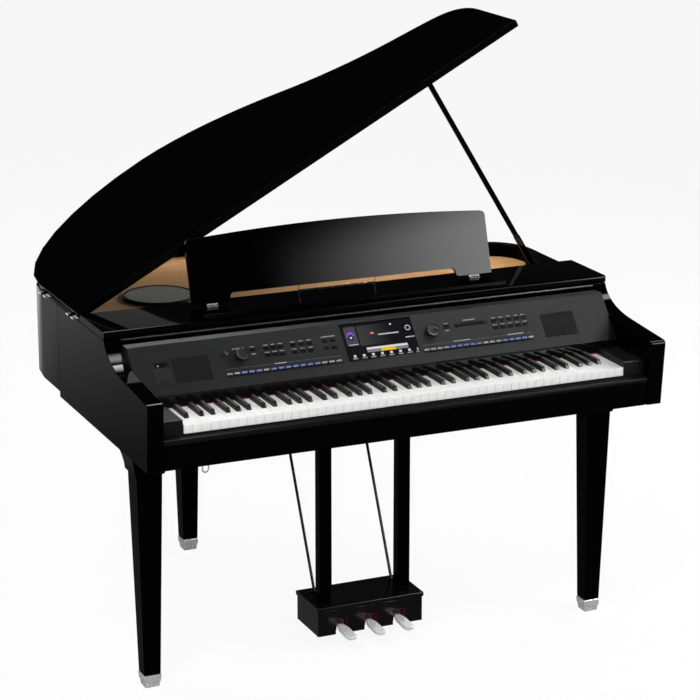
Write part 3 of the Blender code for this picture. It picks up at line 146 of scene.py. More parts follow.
class Finish:
    """A material, or the background of the world, under construction."""

    def __init__(self, name):
        self.material = bpy.data.materials.new(name)
        self.material.use_nodes = True
        self.tree = self.material.node_tree
        self.shader = self.tree.nodes["Principled BSDF"]

    @classmethod
    def of_tree(cls, tree):
        """The same helper for a node tree that is there already."""
        made = cls.__new__(cls)
        made.tree = tree
        return made

    def node(self, kind, settings, *values, output=0, **named):
        """Add a node: settings first, then the values or wires of its inputs."""
        made = self.tree.nodes.new(kind)
        for key, value in settings.items():
            if key == "stops":
                self.fill_ramp(made.color_ramp, value)
            else:
                setattr(made, key, value)
        for key, value in [*enumerate(values), *named.items()]:
            self.feed(made.inputs[key.replace("_", " ") if isinstance(key, str) else key], value)
        return Wire(self, made.outputs[output])

    def fill_ramp(self, ramp, stops):
        """Give a colour ramp its colours, each with its place from 0 to 1."""
        while len(ramp.elements) < len(stops):
            ramp.elements.new(0.5)
        for element, (place, color) in zip(ramp.elements, stops):
            element.position = place
            element.color = (*color, 1.0)

    def feed(self, socket, value):
        """Lead a wire into a socket, or set the socket to a constant."""
        if isinstance(value, Wire):
            self.tree.links.new(value.socket, socket)
        elif isinstance(value, tuple) and len(value) == 3 and socket.type == 'RGBA':
            socket.default_value = (*value, 1.0)
        else:
            socket.default_value = value

    def set(self, **inputs):
        """Feed the shader's own sockets, named with _ for a space."""
        for key, value in inputs.items():
            self.feed(self.shader.inputs[key.replace("_", " ")], value)
        return self

    def place(self):
        """Object coordinates, in metres."""
        return self.node("ShaderNodeTexCoord", {}, output="Object")

    def axes(self, vector=None):
        """The three coordinates as separate wires."""
        split = self.tree.nodes.new("ShaderNodeSeparateXYZ")
        self.feed(split.inputs[0], vector or self.place())
        return [Wire(self, split.outputs[i]) for i in range(3)]

    def noise(self, scale, detail=2.0, at=None, roughness=0.5):
        """Soft random patches from 0 to 1; a larger scale makes them finer."""
        return self.node("ShaderNodeTexNoise", {}, Vector=at or self.place(), Scale=scale,
                         Detail=detail, Roughness=roughness)

    def stretched(self, scale):
        """Object coordinates with another scale along each axis."""
        return self.node("ShaderNodeMapping", {}, Vector=self.place(), Scale=scale)

    def between(self, factor, first, second):
        """A colour between two colours. The Mix node has its colours in sockets 6 and 7."""
        mix = self.tree.nodes.new("ShaderNodeMix")
        mix.data_type = 'RGBA'
        self.feed(mix.inputs[0], factor)
        self.feed(mix.inputs[6], first)
        self.feed(mix.inputs[7], second)
        return Wire(self, mix.outputs[2])

    def bumps(self, height, distance, strength):
        """Tilt the normals as if the surface rose and fell by a distance in metres."""
        return self.node("ShaderNodeBump", {}, Height=height, Distance=distance,
                         Strength=strength)

    def clamped(self, value):
        """A value held between 0 and 1."""
        return self.node("ShaderNodeClamp", {}, value)

    def ease(self, value, low, high, at_low, at_high):
        """A smooth step from at_low to at_high while the value goes from low to high."""
        return self.node("ShaderNodeMapRange", {"interpolation_type": 'SMOOTHSTEP'},
                         value, low, high, at_low, at_high)

    def rays(self, *kinds):
        """1 for rays of a kind and 0 for the others, once for each kind asked for."""
        path = self.tree.nodes.new("ShaderNodeLightPath")
        return [Wire(self, path.outputs[kind]) for kind in kinds]

    def show_mix(self, factor, first, second):
        """Mix two shaders and lead the result to the material's output."""
        mix = self.node("ShaderNodeMixShader", {}, factor, first, second)
        self.feed(self.tree.nodes["Material Output"].inputs[0], mix)


# %% [markdown]
# ## Polished black lacquer
# The case is lacquered wood, polished until it mirrors the room. What tells it from
# black glass is a very slight waviness of the film and a thin, uneven haze from polishing
# and dust. Noise in the roughness gives the haze, and a shallow bump gives the waviness.
# The refractive index is set low, because this deep black shows only its brightest mirror
# images: lamps, white keys and the pale room at a flat angle. The pedal box is a plainer
# satin black.

# %% Lacquer
CLOUDS = 0.035
DUST = 0.012
FILM_WAVE = 0.0002


def lacquer(name, tone, haze, ior):
    made = Finish(name)
    cloud = made.noise(scale=2.4, detail=3.0)
    grain = made.noise(scale=260.0, detail=1.0)
    wave = made.noise(scale=9.0, detail=1.0)
    return made.set(Base_Color=(tone, tone, tone * 1.05),
                    Roughness=haze + cloud * CLOUDS + grain * DUST, IOR=ior,
                    Normal=made.bumps(wave, distance=FILM_WAVE, strength=0.3)).material


polished_black = lacquer("polished_black", tone=0.0006, haze=0.008, ior=1.075)
satin_black = lacquer("satin_black", tone=0.0020, haze=0.10, ior=1.30)

# %% [markdown]
# ## Moulded plastics
# Dials, the USB cover, the key slip, the key blocks and the key cover are satin mouldings
# with a fine spark-eroded grain, so one function makes them all. It also makes the rubber
# and the coated rods.

# %% Plastics
GRAIN_SCALE = 900.0
GRAIN_DEPTH = 0.00004
PATCH_SCALE = 14.0
SPECK_ROUGHNESS = 0.08
PATCH_ROUGHNESS = 0.04
GRAIN_STRENGTH = 0.4


def plastic(name, color, roughness, grain=GRAIN_SCALE, depth=GRAIN_DEPTH, spread=0.10,
            ior=1.45):
    """A moulding: spread is how far its tone strays from the colour in soft patches."""
    made = Finish(name)
    speck = made.noise(scale=grain)
    patch = made.noise(scale=PATCH_SCALE, detail=3.0)
    lighter = tuple(c * (1 + spread) for c in color)
    darker = tuple(c * (1 - spread) for c in color)
    rough = roughness + (speck - 0.5) * SPECK_ROUGHNESS + patch * PATCH_ROUGHNESS
    return made.set(Base_Color=made.between(patch, darker, lighter), IOR=ior, Roughness=rough,
                    Normal=made.bumps(speck, distance=depth, strength=GRAIN_STRENGTH)).material


slip_black = plastic("key_slip_black", (0.005, 0.005, 0.005), 0.22, spread=0.05, ior=1.06)
block_satin = plastic("key_block_satin", (0.006, 0.006, 0.006), 0.22, spread=0.05, ior=1.15)
cover_black = plastic("key_cover_black", (0.006, 0.006, 0.006), 0.35, spread=0.05, ior=1.2)
dial_black = plastic("dial_black", (0.006, 0.006, 0.007), 0.32, ior=1.3)
usb_grey = plastic("usb_cover_grey", (0.010, 0.010, 0.011), 0.42, ior=1.18)
speaker_black = plastic("speaker_black", (0.010, 0.010, 0.010), 0.6)
rod_black = plastic("rod_black", (0.004, 0.004, 0.004), 0.30, ior=1.12)
rubber = plastic("rubber", (0.015, 0.015, 0.015), 0.75, depth=0.0001)
lamp_white = plastic("lamp_white", (0.80, 0.80, 0.80), 0.40, spread=0.03)

# %% [markdown]
# ## Key tops
# White keys are moulded in a bright resin with a silky gloss, never quite even in tone.
# Black keys have a matt, faintly ribbed surface like ebony, with a sheen on their edges.

# %% Ivory and ebony
EBONY_DARK = (0.002, 0.002, 0.002)
EBONY_LIGHT = (0.007, 0.007, 0.007)
ALONG_KEY = (1.0, 0.06, 1.0)

ivory = plastic("white_key_resin", (0.85, 0.85, 0.84), 0.20, grain=300.0, depth=0.00002,
                spread=0.02)


def ebony_finish():
    made = Finish("black_key_ebony")
    fibre = made.noise(scale=700.0, detail=3.0, at=made.stretched(ALONG_KEY))
    return made.set(Base_Color=made.between(fibre, EBONY_DARK, EBONY_LIGHT), IOR=1.18,
                    Roughness=0.28 + fibre * 0.14,
                    Normal=made.bumps(fibre, distance=0.00006,
                                      strength=GRAIN_STRENGTH)).material


ebony = ebony_finish()

# %% [markdown]
# ## Bare metal
# Hinges, pedals and the feet of the legs are satin nickel. Their brushing is a noise
# stretched along one axis, which feeds roughness and a very shallow bump. A metal share
# below 1 keeps pedals and feet from mirroring only the dark parts of the studio.

# %% Metals
ALONG_Y = (1.0, 0.05, 1.0)
ALONG_Z = (1.0, 1.0, 0.05)
NICKEL = (0.82, 0.81, 0.79)
BRUSH_SCALE = 900.0
TARNISH, TARNISH_SCALE = 0.86, 30.0
LINE_ROUGHNESS = 0.14


def brushed(name, color, roughness, along=ALONG_Y, metal=1.0):
    made = Finish(name)
    lines = made.noise(scale=BRUSH_SCALE, at=made.stretched(along))
    patch = made.noise(scale=TARNISH_SCALE)
    darker = tuple(c * TARNISH for c in color)
    return made.set(Base_Color=made.between(patch, darker, color), Metallic=metal,
                    Roughness=roughness + (lines - 0.5) * LINE_ROUGHNESS,
                    Normal=made.bumps(lines, distance=0.00003, strength=0.35)).material


nickel = brushed("satin_nickel", NICKEL, 0.26)
hinge_nickel = brushed("hinge_nickel", (0.07, 0.07, 0.07), 0.50)
pedal_nickel = brushed("pedal_nickel", (0.88, 0.88, 0.88), 0.28, metal=0.30)
foot_nickel = brushed("foot_nickel", NICKEL, 0.26, along=ALONG_Z, metal=0.6)

# %% [markdown]
# ## Wood and felt
# The panel in the recess is a light veneer whose grain runs across the piano. The grain
# is noise stretched along X, with a finer set of pores over it. Felt is red and matt,
# with a short nap that a fine noise and a deep bump suggest.

# %% Veneer, inner boards and felt
ACROSS_PIANO = (0.9, 26.0, 26.0)
RING_SCALE = 3.0
PORE_SCALE = 42.0
PORE_ROUGHNESS = 0.12
FELT_DARK = (0.05, 0.002, 0.004)
FELT_LIGHT = (0.15, 0.006, 0.012)


def wood(name, light, dark, roughness):
    made = Finish(name)
    along = made.stretched(ACROSS_PIANO)
    rings = made.noise(scale=RING_SCALE, detail=5.0, at=along, roughness=0.62)
    pores = made.noise(scale=PORE_SCALE, at=along)
    stops = [(0.30, dark), (0.70, light)]
    color = made.node("ShaderNodeValToRGB", {"stops": stops}, rings * 0.8 + pores * 0.2)
    return made.set(Base_Color=color, IOR=1.12,
                    Roughness=roughness + (pores - 0.5) * PORE_ROUGHNESS,
                    Normal=made.bumps(pores, distance=0.0001, strength=0.3)).material


def felt_finish():
    made = Finish("red_felt")
    nap = made.noise(scale=1800.0, detail=3.0)
    patch = made.noise(scale=90.0)
    return made.set(Base_Color=made.between((patch + nap) * 0.5, FELT_DARK, FELT_LIGHT),
                    Roughness=0.92, IOR=1.1,
                    Normal=made.bumps(nap, distance=0.0003, strength=0.7)).material


veneer = wood("pale_veneer", (0.76, 0.43, 0.20), (0.55, 0.29, 0.12), 0.46)
inner_board = wood("inner_board", (0.10, 0.060, 0.035), (0.045, 0.027, 0.016), 0.45)
red_felt = felt_finish()

# %% [markdown]
# ## Where things are
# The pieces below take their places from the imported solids: the middle of the keyboard,
# the front of the arms and the slope of the control panel, on which a place is given as
# a distance across, a distance up the slope and a height above it.

# %% Places on the piano
KEYS_LOW, KEYS_HIGH = (Vector(corner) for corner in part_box("white_keys"))
MIDDLE_X = (KEYS_LOW.x + KEYS_HIGH.x) / 2
FRONT_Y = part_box("left_side_panel")[0][1]
KEY_TOP = 0.757
PANEL_Y = FRONT_Y + 0.182
PANEL_Z = 0.790
PANEL_TILT = math.radians(50.5)


def on_panel(across, up=0.0, out=0.0):
    """A point on the slope of the control panel."""
    return Vector((MIDDLE_X + across,
                   PANEL_Y + up * math.cos(PANEL_TILT) - out * math.sin(PANEL_TILT),
                   PANEL_Z + up * math.sin(PANEL_TILT) + out * math.cos(PANEL_TILT)))


def above_slope(name):
    """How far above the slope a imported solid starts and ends."""
    outward = Vector((0, -math.sin(PANEL_TILT), math.cos(PANEL_TILT)))
    foot = on_panel(0.0)
    heights = [(vert.co - foot).dot(outward) for vert in nodes[name].data.vertices]
    return min(heights), max(heights)


def slope_axes(made):
    """Distance across and distance up the slope, in a material."""
    x, y, z = made.axes()
    up = (y - PANEL_Y) * math.cos(PANEL_TILT) + (z - PANEL_Z) * math.sin(PANEL_TILT)
    return x - MIDDLE_X, up


def within(value, low, high):
    """1 where the value lies between the two limits."""
    return (value > low) * (value < high)


def within_any(value, spans):
    """1 where the value lies in one of several spans that don't overlap."""
    found = within(value, *spans[0])
    for span in spans[1:]:
        found = found + within(value, *span)
    return found


# %% [markdown]
# ## Printed control panel
# The panel is a dark satin moulding with fine printed legends. The legends are plain
# dashes, because no lettering is drawn, and a coarse noise breaks them up. The lower
# buttons stand in a trough that is painted almost black, a painted shade between the caps,
# with a thin printed rule above it. All of it is worked out from the two distances on the
# slope. Below the bend the moulding turns into a glossy strip that mirrors the keys, so the
# roughness also depends on the height.

# %% Legends and trough
SHADED_ROW_BAND = (0.0270, 0.0400)
RULES = [(-0.434, -0.118), (0.112, 0.434)]
RULE_BAND = (0.0488, 0.0495)
RULE_INK = 0.35
TITLES = [(-0.300, -0.268, 0.0495), (0.203, 0.252, 0.0505), (0.362, 0.408, 0.0505),
          (-0.402, -0.370, 0.1025), (-0.160, -0.120, 0.1060), (0.246, 0.282, 0.1060)]
TITLE_HALF = 0.0013
LEGEND_COLUMNS = (-0.348, -0.312, -0.292, -0.272, -0.238, -0.2155, -0.193,
                  0.195, 0.334, 0.356, 0.379, 0.401, 0.421)
LEGEND_HALF = 0.006
LEGEND_ROWS = [(0.0815, 0.0837), (0.1015, 0.1037)]
INK = (0.42, 0.42, 0.43)
INK_COVER = 0.75
BEND_BELOW = 0.0004


def panel_print():
    made = Finish("control_panel_print")
    across, up = slope_axes(made)
    speck = made.noise(scale=GRAIN_SCALE)
    patch = made.noise(scale=12.0, detail=3.0)
    color = made.between(patch, (0.0050, 0.0050, 0.0053), (0.0070, 0.0070, 0.0074))
    shaded_trough = within(up, *SHADED_ROW_BAND) * within_any(across, RULES)
    # Painted shade: the trough between the lower caps is painted almost black.
    color = made.between(shaded_trough, color, (0.0006, 0.0006, 0.0006))
    columns = [(middle - LEGEND_HALF, middle + LEGEND_HALF) for middle in LEGEND_COLUMNS]
    marks = within_any(across, columns) * within_any(up, LEGEND_ROWS)
    for low, high, height in TITLES:
        marks = marks + within(across, low, high) * within(up, height - TITLE_HALF,
                                                           height + TITLE_HALF)
    marks = marks + within_any(across, RULES) * within(up, *RULE_BAND) * RULE_INK
    broken = (made.noise(scale=420.0, detail=1.0) > 0.42) * INK_COVER
    color = made.between(marks * broken, color, INK)
    foot = made.axes()[2] < PANEL_Z - BEND_BELOW
    slope = 1.0 - foot
    color = made.between(foot, color, (0.003, 0.003, 0.0035))
    satin = 0.36 + speck * 0.08 + patch * 0.04 + shaded_trough * 0.5
    return made.set(Base_Color=color, Roughness=satin * slope + foot * 0.05, IOR=1.20,
                    Normal=made.bumps(speck * slope, distance=GRAIN_DEPTH,
                                      strength=GRAIN_STRENGTH)).material


panel_grey = panel_print()

# %% [markdown]
# ## Button caps
# The caps of the lower rows carry a small symbol on a field in their upper half and are
# black below it. This is partly painted light and shade: the grey upper half is painted
# lighter, as if lit from above, and the black lower half stands for the shade below it.
# The blue of the sound buttons' fields is print. Each symbol is a broken light patch. The
# upper groups are plain dark caps.

# %% Caps
BLUE_SPANS = [(-0.3955, -0.3360), (-0.3160, -0.2560), (-0.2560, -0.1760),
              (0.1885, 0.2840), (0.3405, 0.4170)]
PRINT_AND_LIT_BAND = (0.0318, 0.0395)
SYMBOL_BAND = (0.0335, 0.0380)
LIT_FIELD_GREY, FIELD_BLUE = (0.020, 0.020, 0.021), (0.014, 0.020, 0.070)
SYMBOL_GREY, SYMBOL_BLUE = (0.40, 0.40, 0.41), (0.20, 0.25, 0.48)


def cap_finish(name, symbol):
    made = Finish(name)
    across, up = slope_axes(made)
    speck = made.noise(scale=GRAIN_SCALE)
    color = made.between(speck, (0.002, 0.002, 0.002), (0.004, 0.004, 0.004))
    if symbol:
        blue = within_any(across, BLUE_SPANS)
        field = made.between(blue, LIT_FIELD_GREY, FIELD_BLUE)
        # Painted light: the upper half of each lower cap is painted lighter than its black lower
        # half; the blue is print.
        color = made.between(within(up, *PRINT_AND_LIT_BAND), color, field)
        light = within(up, *SYMBOL_BAND) * (made.noise(scale=520.0, detail=1.0) > 0.44)
        color = made.between(light, color, made.between(blue, SYMBOL_GREY, SYMBOL_BLUE))
    return made.set(Base_Color=color, IOR=1.12, Roughness=0.30 + speck * 0.10,
                    Normal=made.bumps(speck, distance=0.00003,
                                      strength=GRAIN_STRENGTH)).material


row_caps = cap_finish("row_caps", True)
group_caps = cap_finish("group_caps", False)

# %% [markdown]
# ## Touch screen
# The screen shows a start page: a tile with a round purple sign, a title, a bar of keys
# with a yellow stretch and a row of small signs. All signs are plain discs and bars,
# painted one over the other. The picture is in the emission colour, so the black glass
# over it can still mirror.

# %% Screen picture
# Bars are given as middle across, middle up, half width and half height, in metres.
PAGE = (0.012, 0.096, 0.068, 0.028)
PAGE_LEFT = 0.075
PAGE_FADE = 9.0
SIDE_TILE = (-0.0765, 0.0975, 0.0163, 0.0265)
SIDE_SIGN = (-0.0775, 0.100, 0.0105)
SIGN_SHADE = (-0.0775, 0.094, 0.0085)
SIGN_EYE = (-0.0775, 0.0935, 0.0028)
RED_SIGN = (-0.020, 0.1015, 0.0085)
RED_FLATTEN = 1.6
RED_MARK = (-0.0165, 0.1005, 0.0045, 0.0012)
RING_PLACE = (0.0855, 0.104)
RING_OUTER, RING_INNER = 0.0075, 0.0055
WORDS = [(0.028, 0.0945, 0.029, 0.0017), (-0.0745, 0.0735, 0.0130, 0.0012),
         (0.0855, 0.0780, 0.0125, 0.0014)]
CLOCK = (0.0400, 0.1195, 0.0025, 0.0022)
SIGN_PITCH = 0.0256
FIRST_SIGN = -0.0805
SIGN_LEAD = 0.0090
SIGN_ROW = (0.0415, 0.0036, 0.0034)
NAME_ROW = (0.0345, 0.0075, 0.0008)
SIGNS_SPAN = (-0.092, 0.098)
KEYS_BAR = (0.0150, 0.0590, 0.0580, 0.0030)
KEY_STEP, KEY_GAP = 0.006, 0.0016
BLACK_KEYS_FROM = 0.0585
LOWER_BAR = (0.0150, 0.0515, 0.0580, 0.0034)
YELLOW_BAR = (0.0165, 0.0525, 0.0205, 0.0046)
LIT_ACROSS, LIT_UP = (-0.0965, 0.0990), (0.0315, 0.1290)
PAGE_DARK = (0.004, 0.004, 0.005)


def screen_picture():
    made = Finish("touch_screen_glass")
    across, up = slope_axes(made)

    def bar(x, u, half_width, half_height):
        return ((across - x).size() < half_width) * ((up - u).size() < half_height)

    def disc(x, u, radius, flat=1.0):
        dx, du = across - x, (up - u) * flat
        return dx * dx + du * du < radius * radius

    shade = (across + PAGE_LEFT) * PAGE_FADE
    broken = made.noise(scale=700.0, detail=1.0) > 0.40
    from_sign = (across - (FIRST_SIGN - SIGN_LEAD)).wrap(SIGN_PITCH) - SIGN_LEAD

    def sign_row(height, half_width, half_height):
        return (from_sign.size() < half_width) * ((up - height).size() < half_height)

    words = (bar(*WORDS[0]) + bar(*WORDS[1]) + bar(*WORDS[2])) * broken
    ring = disc(*RING_PLACE, RING_OUTER) - disc(*RING_PLACE, RING_INNER)
    signs = sign_row(*SIGN_ROW) * within(across, *SIGNS_SPAN)
    lights = words + signs + sign_row(*NAME_ROW) * broken + bar(*CLOCK) + ring
    keys = bar(*KEYS_BAR)
    key_gaps = keys * within(across.wrap(KEY_STEP), 0.0, KEY_GAP) * (up > BLACK_KEYS_FROM)

    layers = [
        (bar(*PAGE), made.between(shade, (0.050, 0.052, 0.048), PAGE_DARK)),
        (bar(*SIDE_TILE), (0.060, 0.056, 0.062)),
        (disc(*SIDE_SIGN), (0.24, 0.08, 0.50)),
        (disc(*SIGN_SHADE), (0.020, 0.014, 0.09)),
        (disc(*SIGN_EYE), (0.75, 0.72, 0.80)),
        (disc(*RED_SIGN, RED_FLATTEN), (0.16, 0.012, 0.012)),
        (bar(*RED_MARK), (0.70, 0.62, 0.60)),
        (lights, (0.62, 0.62, 0.62)),
        (keys, (0.80, 0.80, 0.80)),
        (key_gaps, (0.05, 0.05, 0.05)),
        (bar(*LOWER_BAR), (0.22, 0.22, 0.24)),
        (bar(*YELLOW_BAR), (0.80, 0.50, 0.035)),
    ]
    color = PAGE_DARK
    for mask, paint in layers:
        color = made.between(mask, color, paint)
    lit = within(across, *LIT_ACROSS) * within(up, *LIT_UP)
    return made.set(Base_Color=PAGE_DARK, Roughness=0.06 + made.noise(scale=40.0) * 0.05,
                    Specular_IOR_Level=0.35, Emission_Strength=1.0,
                    Emission_Color=made.between(lit, (0.0, 0.0, 0.0), color)).material


screen_glass = screen_picture()

# %% [markdown]
# ## Perforated sheets
# Loudspeakers sit behind thin sheets with rows of small round holes. At this size the
# holes are a pattern: the distance to the middle of each cell is compared with a radius,
# which darkens the colour and drives a bump. The round grille has a plain black rim, and
# only its sheet is part metal.

# %% Perforations
HOLE_SHARE = 0.33
HOLE_DEPTH = 0.0002
ROUND_PITCH, PANEL_PITCH = 0.0022, 0.0020
SHEET_PATCH = 0.9
RIM_BLACK = (0.006, 0.006, 0.006)


def holes(first, second, pitch):
    """1 in the holes of a sheet that repeats along two directions."""
    u = first.wrap(pitch) - pitch / 2
    v = second.wrap(pitch) - pitch / 2
    return (u * u + v * v < (pitch * HOLE_SHARE) ** 2) * 1.0


def sheet_color(made, color, patch):
    """The colour of the sheet, a little darker in soft patches."""
    return made.between(patch, tuple(c * SHEET_PATCH for c in color), color)


def round_grille_finish(middle, radius, metal):
    made = Finish("round_grille_mesh")
    x, y, _ = made.axes()
    dx, dy = x - middle.x, y - middle.y
    rim = dx * dx + dy * dy > radius * radius
    opened = holes(x, y, ROUND_PITCH) * (1.0 - rim)
    patch = made.noise(scale=25.0, detail=3.0)
    color = made.between(rim, sheet_color(made, (0.42, 0.41, 0.40), patch), RIM_BLACK)
    color = made.between(opened, color, (0.03, 0.03, 0.03))
    return made.set(Base_Color=color, Metallic=(1.0 - rim) * metal, IOR=1.2,
                    Roughness=0.38 + patch * 0.08,
                    Normal=made.bumps(1.0 - opened, distance=HOLE_DEPTH, strength=0.5)).material


def panel_grille_finish():
    made = Finish("panel_grille_mesh")
    opened = holes(*slope_axes(made), PANEL_PITCH)
    patch = made.noise(scale=25.0, detail=3.0)
    color = made.between(opened, sheet_color(made, (0.0045, 0.0045, 0.0048), patch),
                         (0.001, 0.001, 0.001))
    return made.set(Base_Color=color, IOR=1.10, Roughness=0.45 + patch * 0.08,
                    Normal=made.bumps(1.0 - opened, distance=HOLE_DEPTH, strength=0.5)).material


SPEAKER_LOW, SPEAKER_HIGH = (Vector(corner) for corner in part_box("round_speaker_grille"))
round_mesh = round_grille_finish((SPEAKER_LOW + SPEAKER_HIGH) / 2, radius=0.0905, metal=0.2)
panel_mesh = panel_grille_finish()

# %% [markdown]
# ## Selecting in code
# Without a window nothing can be clicked, so faces and edges are selected by a test on
# their place, length or angle. Everything is deselected first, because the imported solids
# are selected after loading and an operator would change them too.

# %% Selection helpers
BODY = {name: node["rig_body"] for name, node in nodes.items()}
SLOT = {part["node"]: part["material_slot"] for part in frame["record"]["subparts"]}
SMOOTH_ANGLE = math.radians(30.0)
STRAIGHT = 0.9


def alone(piece):
    """Select one piece and make it the active one."""
    bpy.ops.object.select_all(action='DESELECT')
    piece.select_set(True)
    bpy.context.view_layer.objects.active = piece


def edit(piece):
    """Open one piece in edit mode."""
    alone(piece)
    bpy.ops.object.mode_set(mode='EDIT')


def pick_faces(piece, test):
    """Select the faces whose middle and normal pass a test."""
    bpy.ops.mesh.select_mode(type='FACE')
    bpy.ops.mesh.select_all(action='DESELECT')
    mesh = bmesh.from_edit_mesh(piece.data)
    for face in mesh.faces:
        face.select_set(bool(test(face.calc_center_median(), face.normal)))
    bmesh.update_edit_mesh(piece.data)


def pick_edges(piece, test):
    """Select the edges that pass a test."""
    bpy.ops.mesh.select_mode(type='EDGE')
    bpy.ops.mesh.select_all(action='DESELECT')
    mesh = bmesh.from_edit_mesh(piece.data)
    for edge in mesh.edges:
        edge.select_set(bool(test(edge)))
    bmesh.update_edit_mesh(piece.data)


def looks_up(middle, normal):
    """True for a face that looks up."""
    return normal.z > STRAIGHT


def primitive(name, add, **settings):
    """Add a simple solid with one of Blender's operators, and name it."""
    bpy.ops.object.select_all(action='DESELECT')
    add(**settings)
    made = bpy.context.object
    made.name = name
    return made


def stretch(piece, size):
    """Give a cube of size 1 its three lengths."""
    piece.scale = size
    bpy.ops.object.transform_apply(location=False, rotation=False, scale=True)


def modify(piece, kind, **settings):
    """Add a modifier to the active piece, set it up and apply it."""
    bpy.ops.object.modifier_add(type=kind)
    modifier = piece.modifiers[-1]
    for key, value in settings.items():
        setattr(modifier, key, value)
    bpy.ops.object.modifier_apply(modifier=modifier.name)


def give(piece, finish):
    """One material on the whole piece."""
    piece.data.materials.clear()
    piece.data.materials.append(finish)


def done(piece, finish, body, slot, *replaced):
    """Put the place into the mesh, shade it, and hand the piece to the frame."""
    if bpy.context.mode != 'OBJECT':
        bpy.ops.object.mode_set(mode='OBJECT')
    alone(piece)
    bpy.ops.object.transform_apply(location=True, rotation=True, scale=True)
    bpy.ops.object.shade_smooth_by_angle(angle=SMOOTH_ANGLE)
    modify(piece, 'WEIGHTED_NORMAL', mode='FACE_AREA', keep_sharp=True)
    give(piece, finish)
    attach(piece, body)
    if replaced:
        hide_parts(*replaced)


# %% [markdown]
# ## Rounding the edges of the solids
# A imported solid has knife-sharp edges, and a lacquered board never does: its edges carry
# the thin bright lines that draw the whole instrument. The solid's mesh is copied, its
# loose triangles are merged, flat triangles are dissolved into whole faces, and the long
# sharp edges are bevelled. Normals weighted by area keep the flat faces flat in the
# mirror. The copy then stands for the solid.

# %% Polished copies
MERGE_WITHIN = 0.00001
FLAT_WITHIN = math.radians(0.5)
SHARP_ANGLE = math.radians(40.0)
SHORTEST_EDGE = 0.006
BEVEL_SEGMENTS = 3


def is_long_and_sharp(edge):
    return (len(edge.link_faces) == 2 and edge.calc_face_angle() > SHARP_ANGLE
            and edge.calc_length() > SHORTEST_EDGE)


def polished(name, finish, width):
    """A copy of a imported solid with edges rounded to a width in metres."""
    piece = bpy.data.objects.new(name + "_piece", nodes[name].data.copy())
    bpy.context.scene.collection.objects.link(piece)
    edit(piece)
    if piece.data.has_custom_normals:
        bpy.ops.mesh.customdata_custom_splitnormals_clear()
    bpy.ops.mesh.select_all(action='SELECT')
    bpy.ops.mesh.remove_doubles(threshold=MERGE_WITHIN)
    bpy.ops.mesh.dissolve_limited(angle_limit=FLAT_WITHIN)
    pick_edges(piece, is_long_and_sharp)
    bpy.ops.mesh.bevel(offset=width, segments=BEVEL_SEGMENTS, affect='EDGES',
                       clamp_overlap=True)
    done(piece, finish, BODY[name], SLOT[name], name)


POLISHED = [
    (polished_black, 0.0016, ("lid", "curved_rim", "front_rail")),
    (polished_black, 0.0018, ("left_side_panel", "right_side_panel", "top_board")),
    (satin_black, 0.0018, ("pedal_box",)),
    (polished_black, 0.0014, ("music_desk", "left_lyre_post", "right_lyre_post", "left_leg",
                              "right_leg", "rear_leg", "lid_prop")),
    (inner_board, 0.0008, ("inner_rim", "bottom_board", "key_bed")),
    (block_satin, 0.0012, ("left_key_block", "right_key_block")),
    (slip_black, 0.0008, ("key_slip",)),
    (cover_black, 0.0006, ("key_cover",)),
    (panel_grey, 0.0010, ("control_panel",)),
    (foot_nickel, 0.0012, ("left_ferrule", "right_ferrule", "rear_ferrule")),
    (ivory, 0.0009, ("white_keys", "key_c4", "key_d4", "key_e4")),
    (ebony, 0.0016, ("black_keys", "key_c_sharp_4", "key_d_sharp_4")),
    (row_caps, 0.0006, ("left_button_row", "right_button_row")),
    (group_caps, 0.0006, ("left_button_group", "right_button_group", "power_button")),
    (usb_grey, 0.0005, ("usb_cover",)),
    (screen_glass, 0.0006, ("touch_screen",)),
    (pedal_nickel, 0.0025, ("left_pedal", "middle_pedal", "right_pedal")),
    (nickel, 0.0003, ("front_lid_hinge", "rear_lid_hinge")),
    (hinge_nickel, 0.0003, ("left_desk_hinge", "right_desk_hinge")),
    (rod_black, 0.0005, ("prop_bracket", "prop_rest")),
]
for finish, width, names in POLISHED:
    for name in names:
        polished(name, finish, width)

# %% [markdown]
# ## Solids that stay as they are
# Round and thin pieces are already the right shape, so they only get their finish.

# %% Finish of the other solids
FINISHES = {
    veneer: ("soundboard_panel",),
    nickel: ("music_desk_stay", "headphone_hook"),
    rod_black: ("left_brace", "right_brace"),
    speaker_black: ("round_speaker",),
    round_mesh: ("round_speaker_grille",),
    panel_mesh: ("left_panel_grille", "right_panel_grille"),
}
for finish, names in FINISHES.items():
    for name in names:
        give(nodes[name], finish)

# %% [markdown]
# ## Felt along the keys
# A strip of red felt lies on the key tops where they run under the panel. It hides the
# slot and keeps the panel from knocking on the keys. A box is stretched to the length of
# the keyboard, cut into short lengths and each ring is moved a little, so the nap looks
# uneven along its edge.

# %% Felt strip
FELT_HEIGHT = 0.0030
FELT_THICKNESS = 0.0022
FELT_BEFORE_PANEL = 0.002
FELT_ABOVE_KEYS = 0.0004
FELT_CUTS = 120
FELT_UNEVEN = 0.00025
LONG_EDGE = 0.1

felt = primitive("key_felt", bpy.ops.mesh.primitive_cube_add, size=1.0,
                 location=(MIDDLE_X, PANEL_Y - FELT_BEFORE_PANEL - FELT_THICKNESS / 2,
                           KEY_TOP + FELT_HEIGHT / 2 + FELT_ABOVE_KEYS))
stretch(felt, (KEYS_HIGH.x - KEYS_LOW.x, FELT_THICKNESS, FELT_HEIGHT))
edit(felt)
pick_edges(felt, lambda edge: abs(edge.verts[0].co.x - edge.verts[1].co.x) > LONG_EDGE)
bpy.ops.mesh.subdivide(number_cuts=FELT_CUTS)
bpy.ops.mesh.select_all(action='SELECT')
bpy.ops.transform.vertex_random(offset=FELT_UNEVEN, uniform=0.2, normal=0.0, seed=4)
done(felt, red_felt, "case", "black_key")

# %% [markdown]
# ## Felt in the pedal openings
# Red felt lines each opening of the pedal box, so a pedal never knocks on wood. A box
# without its front, back and floor is cut finely and given a thickness.

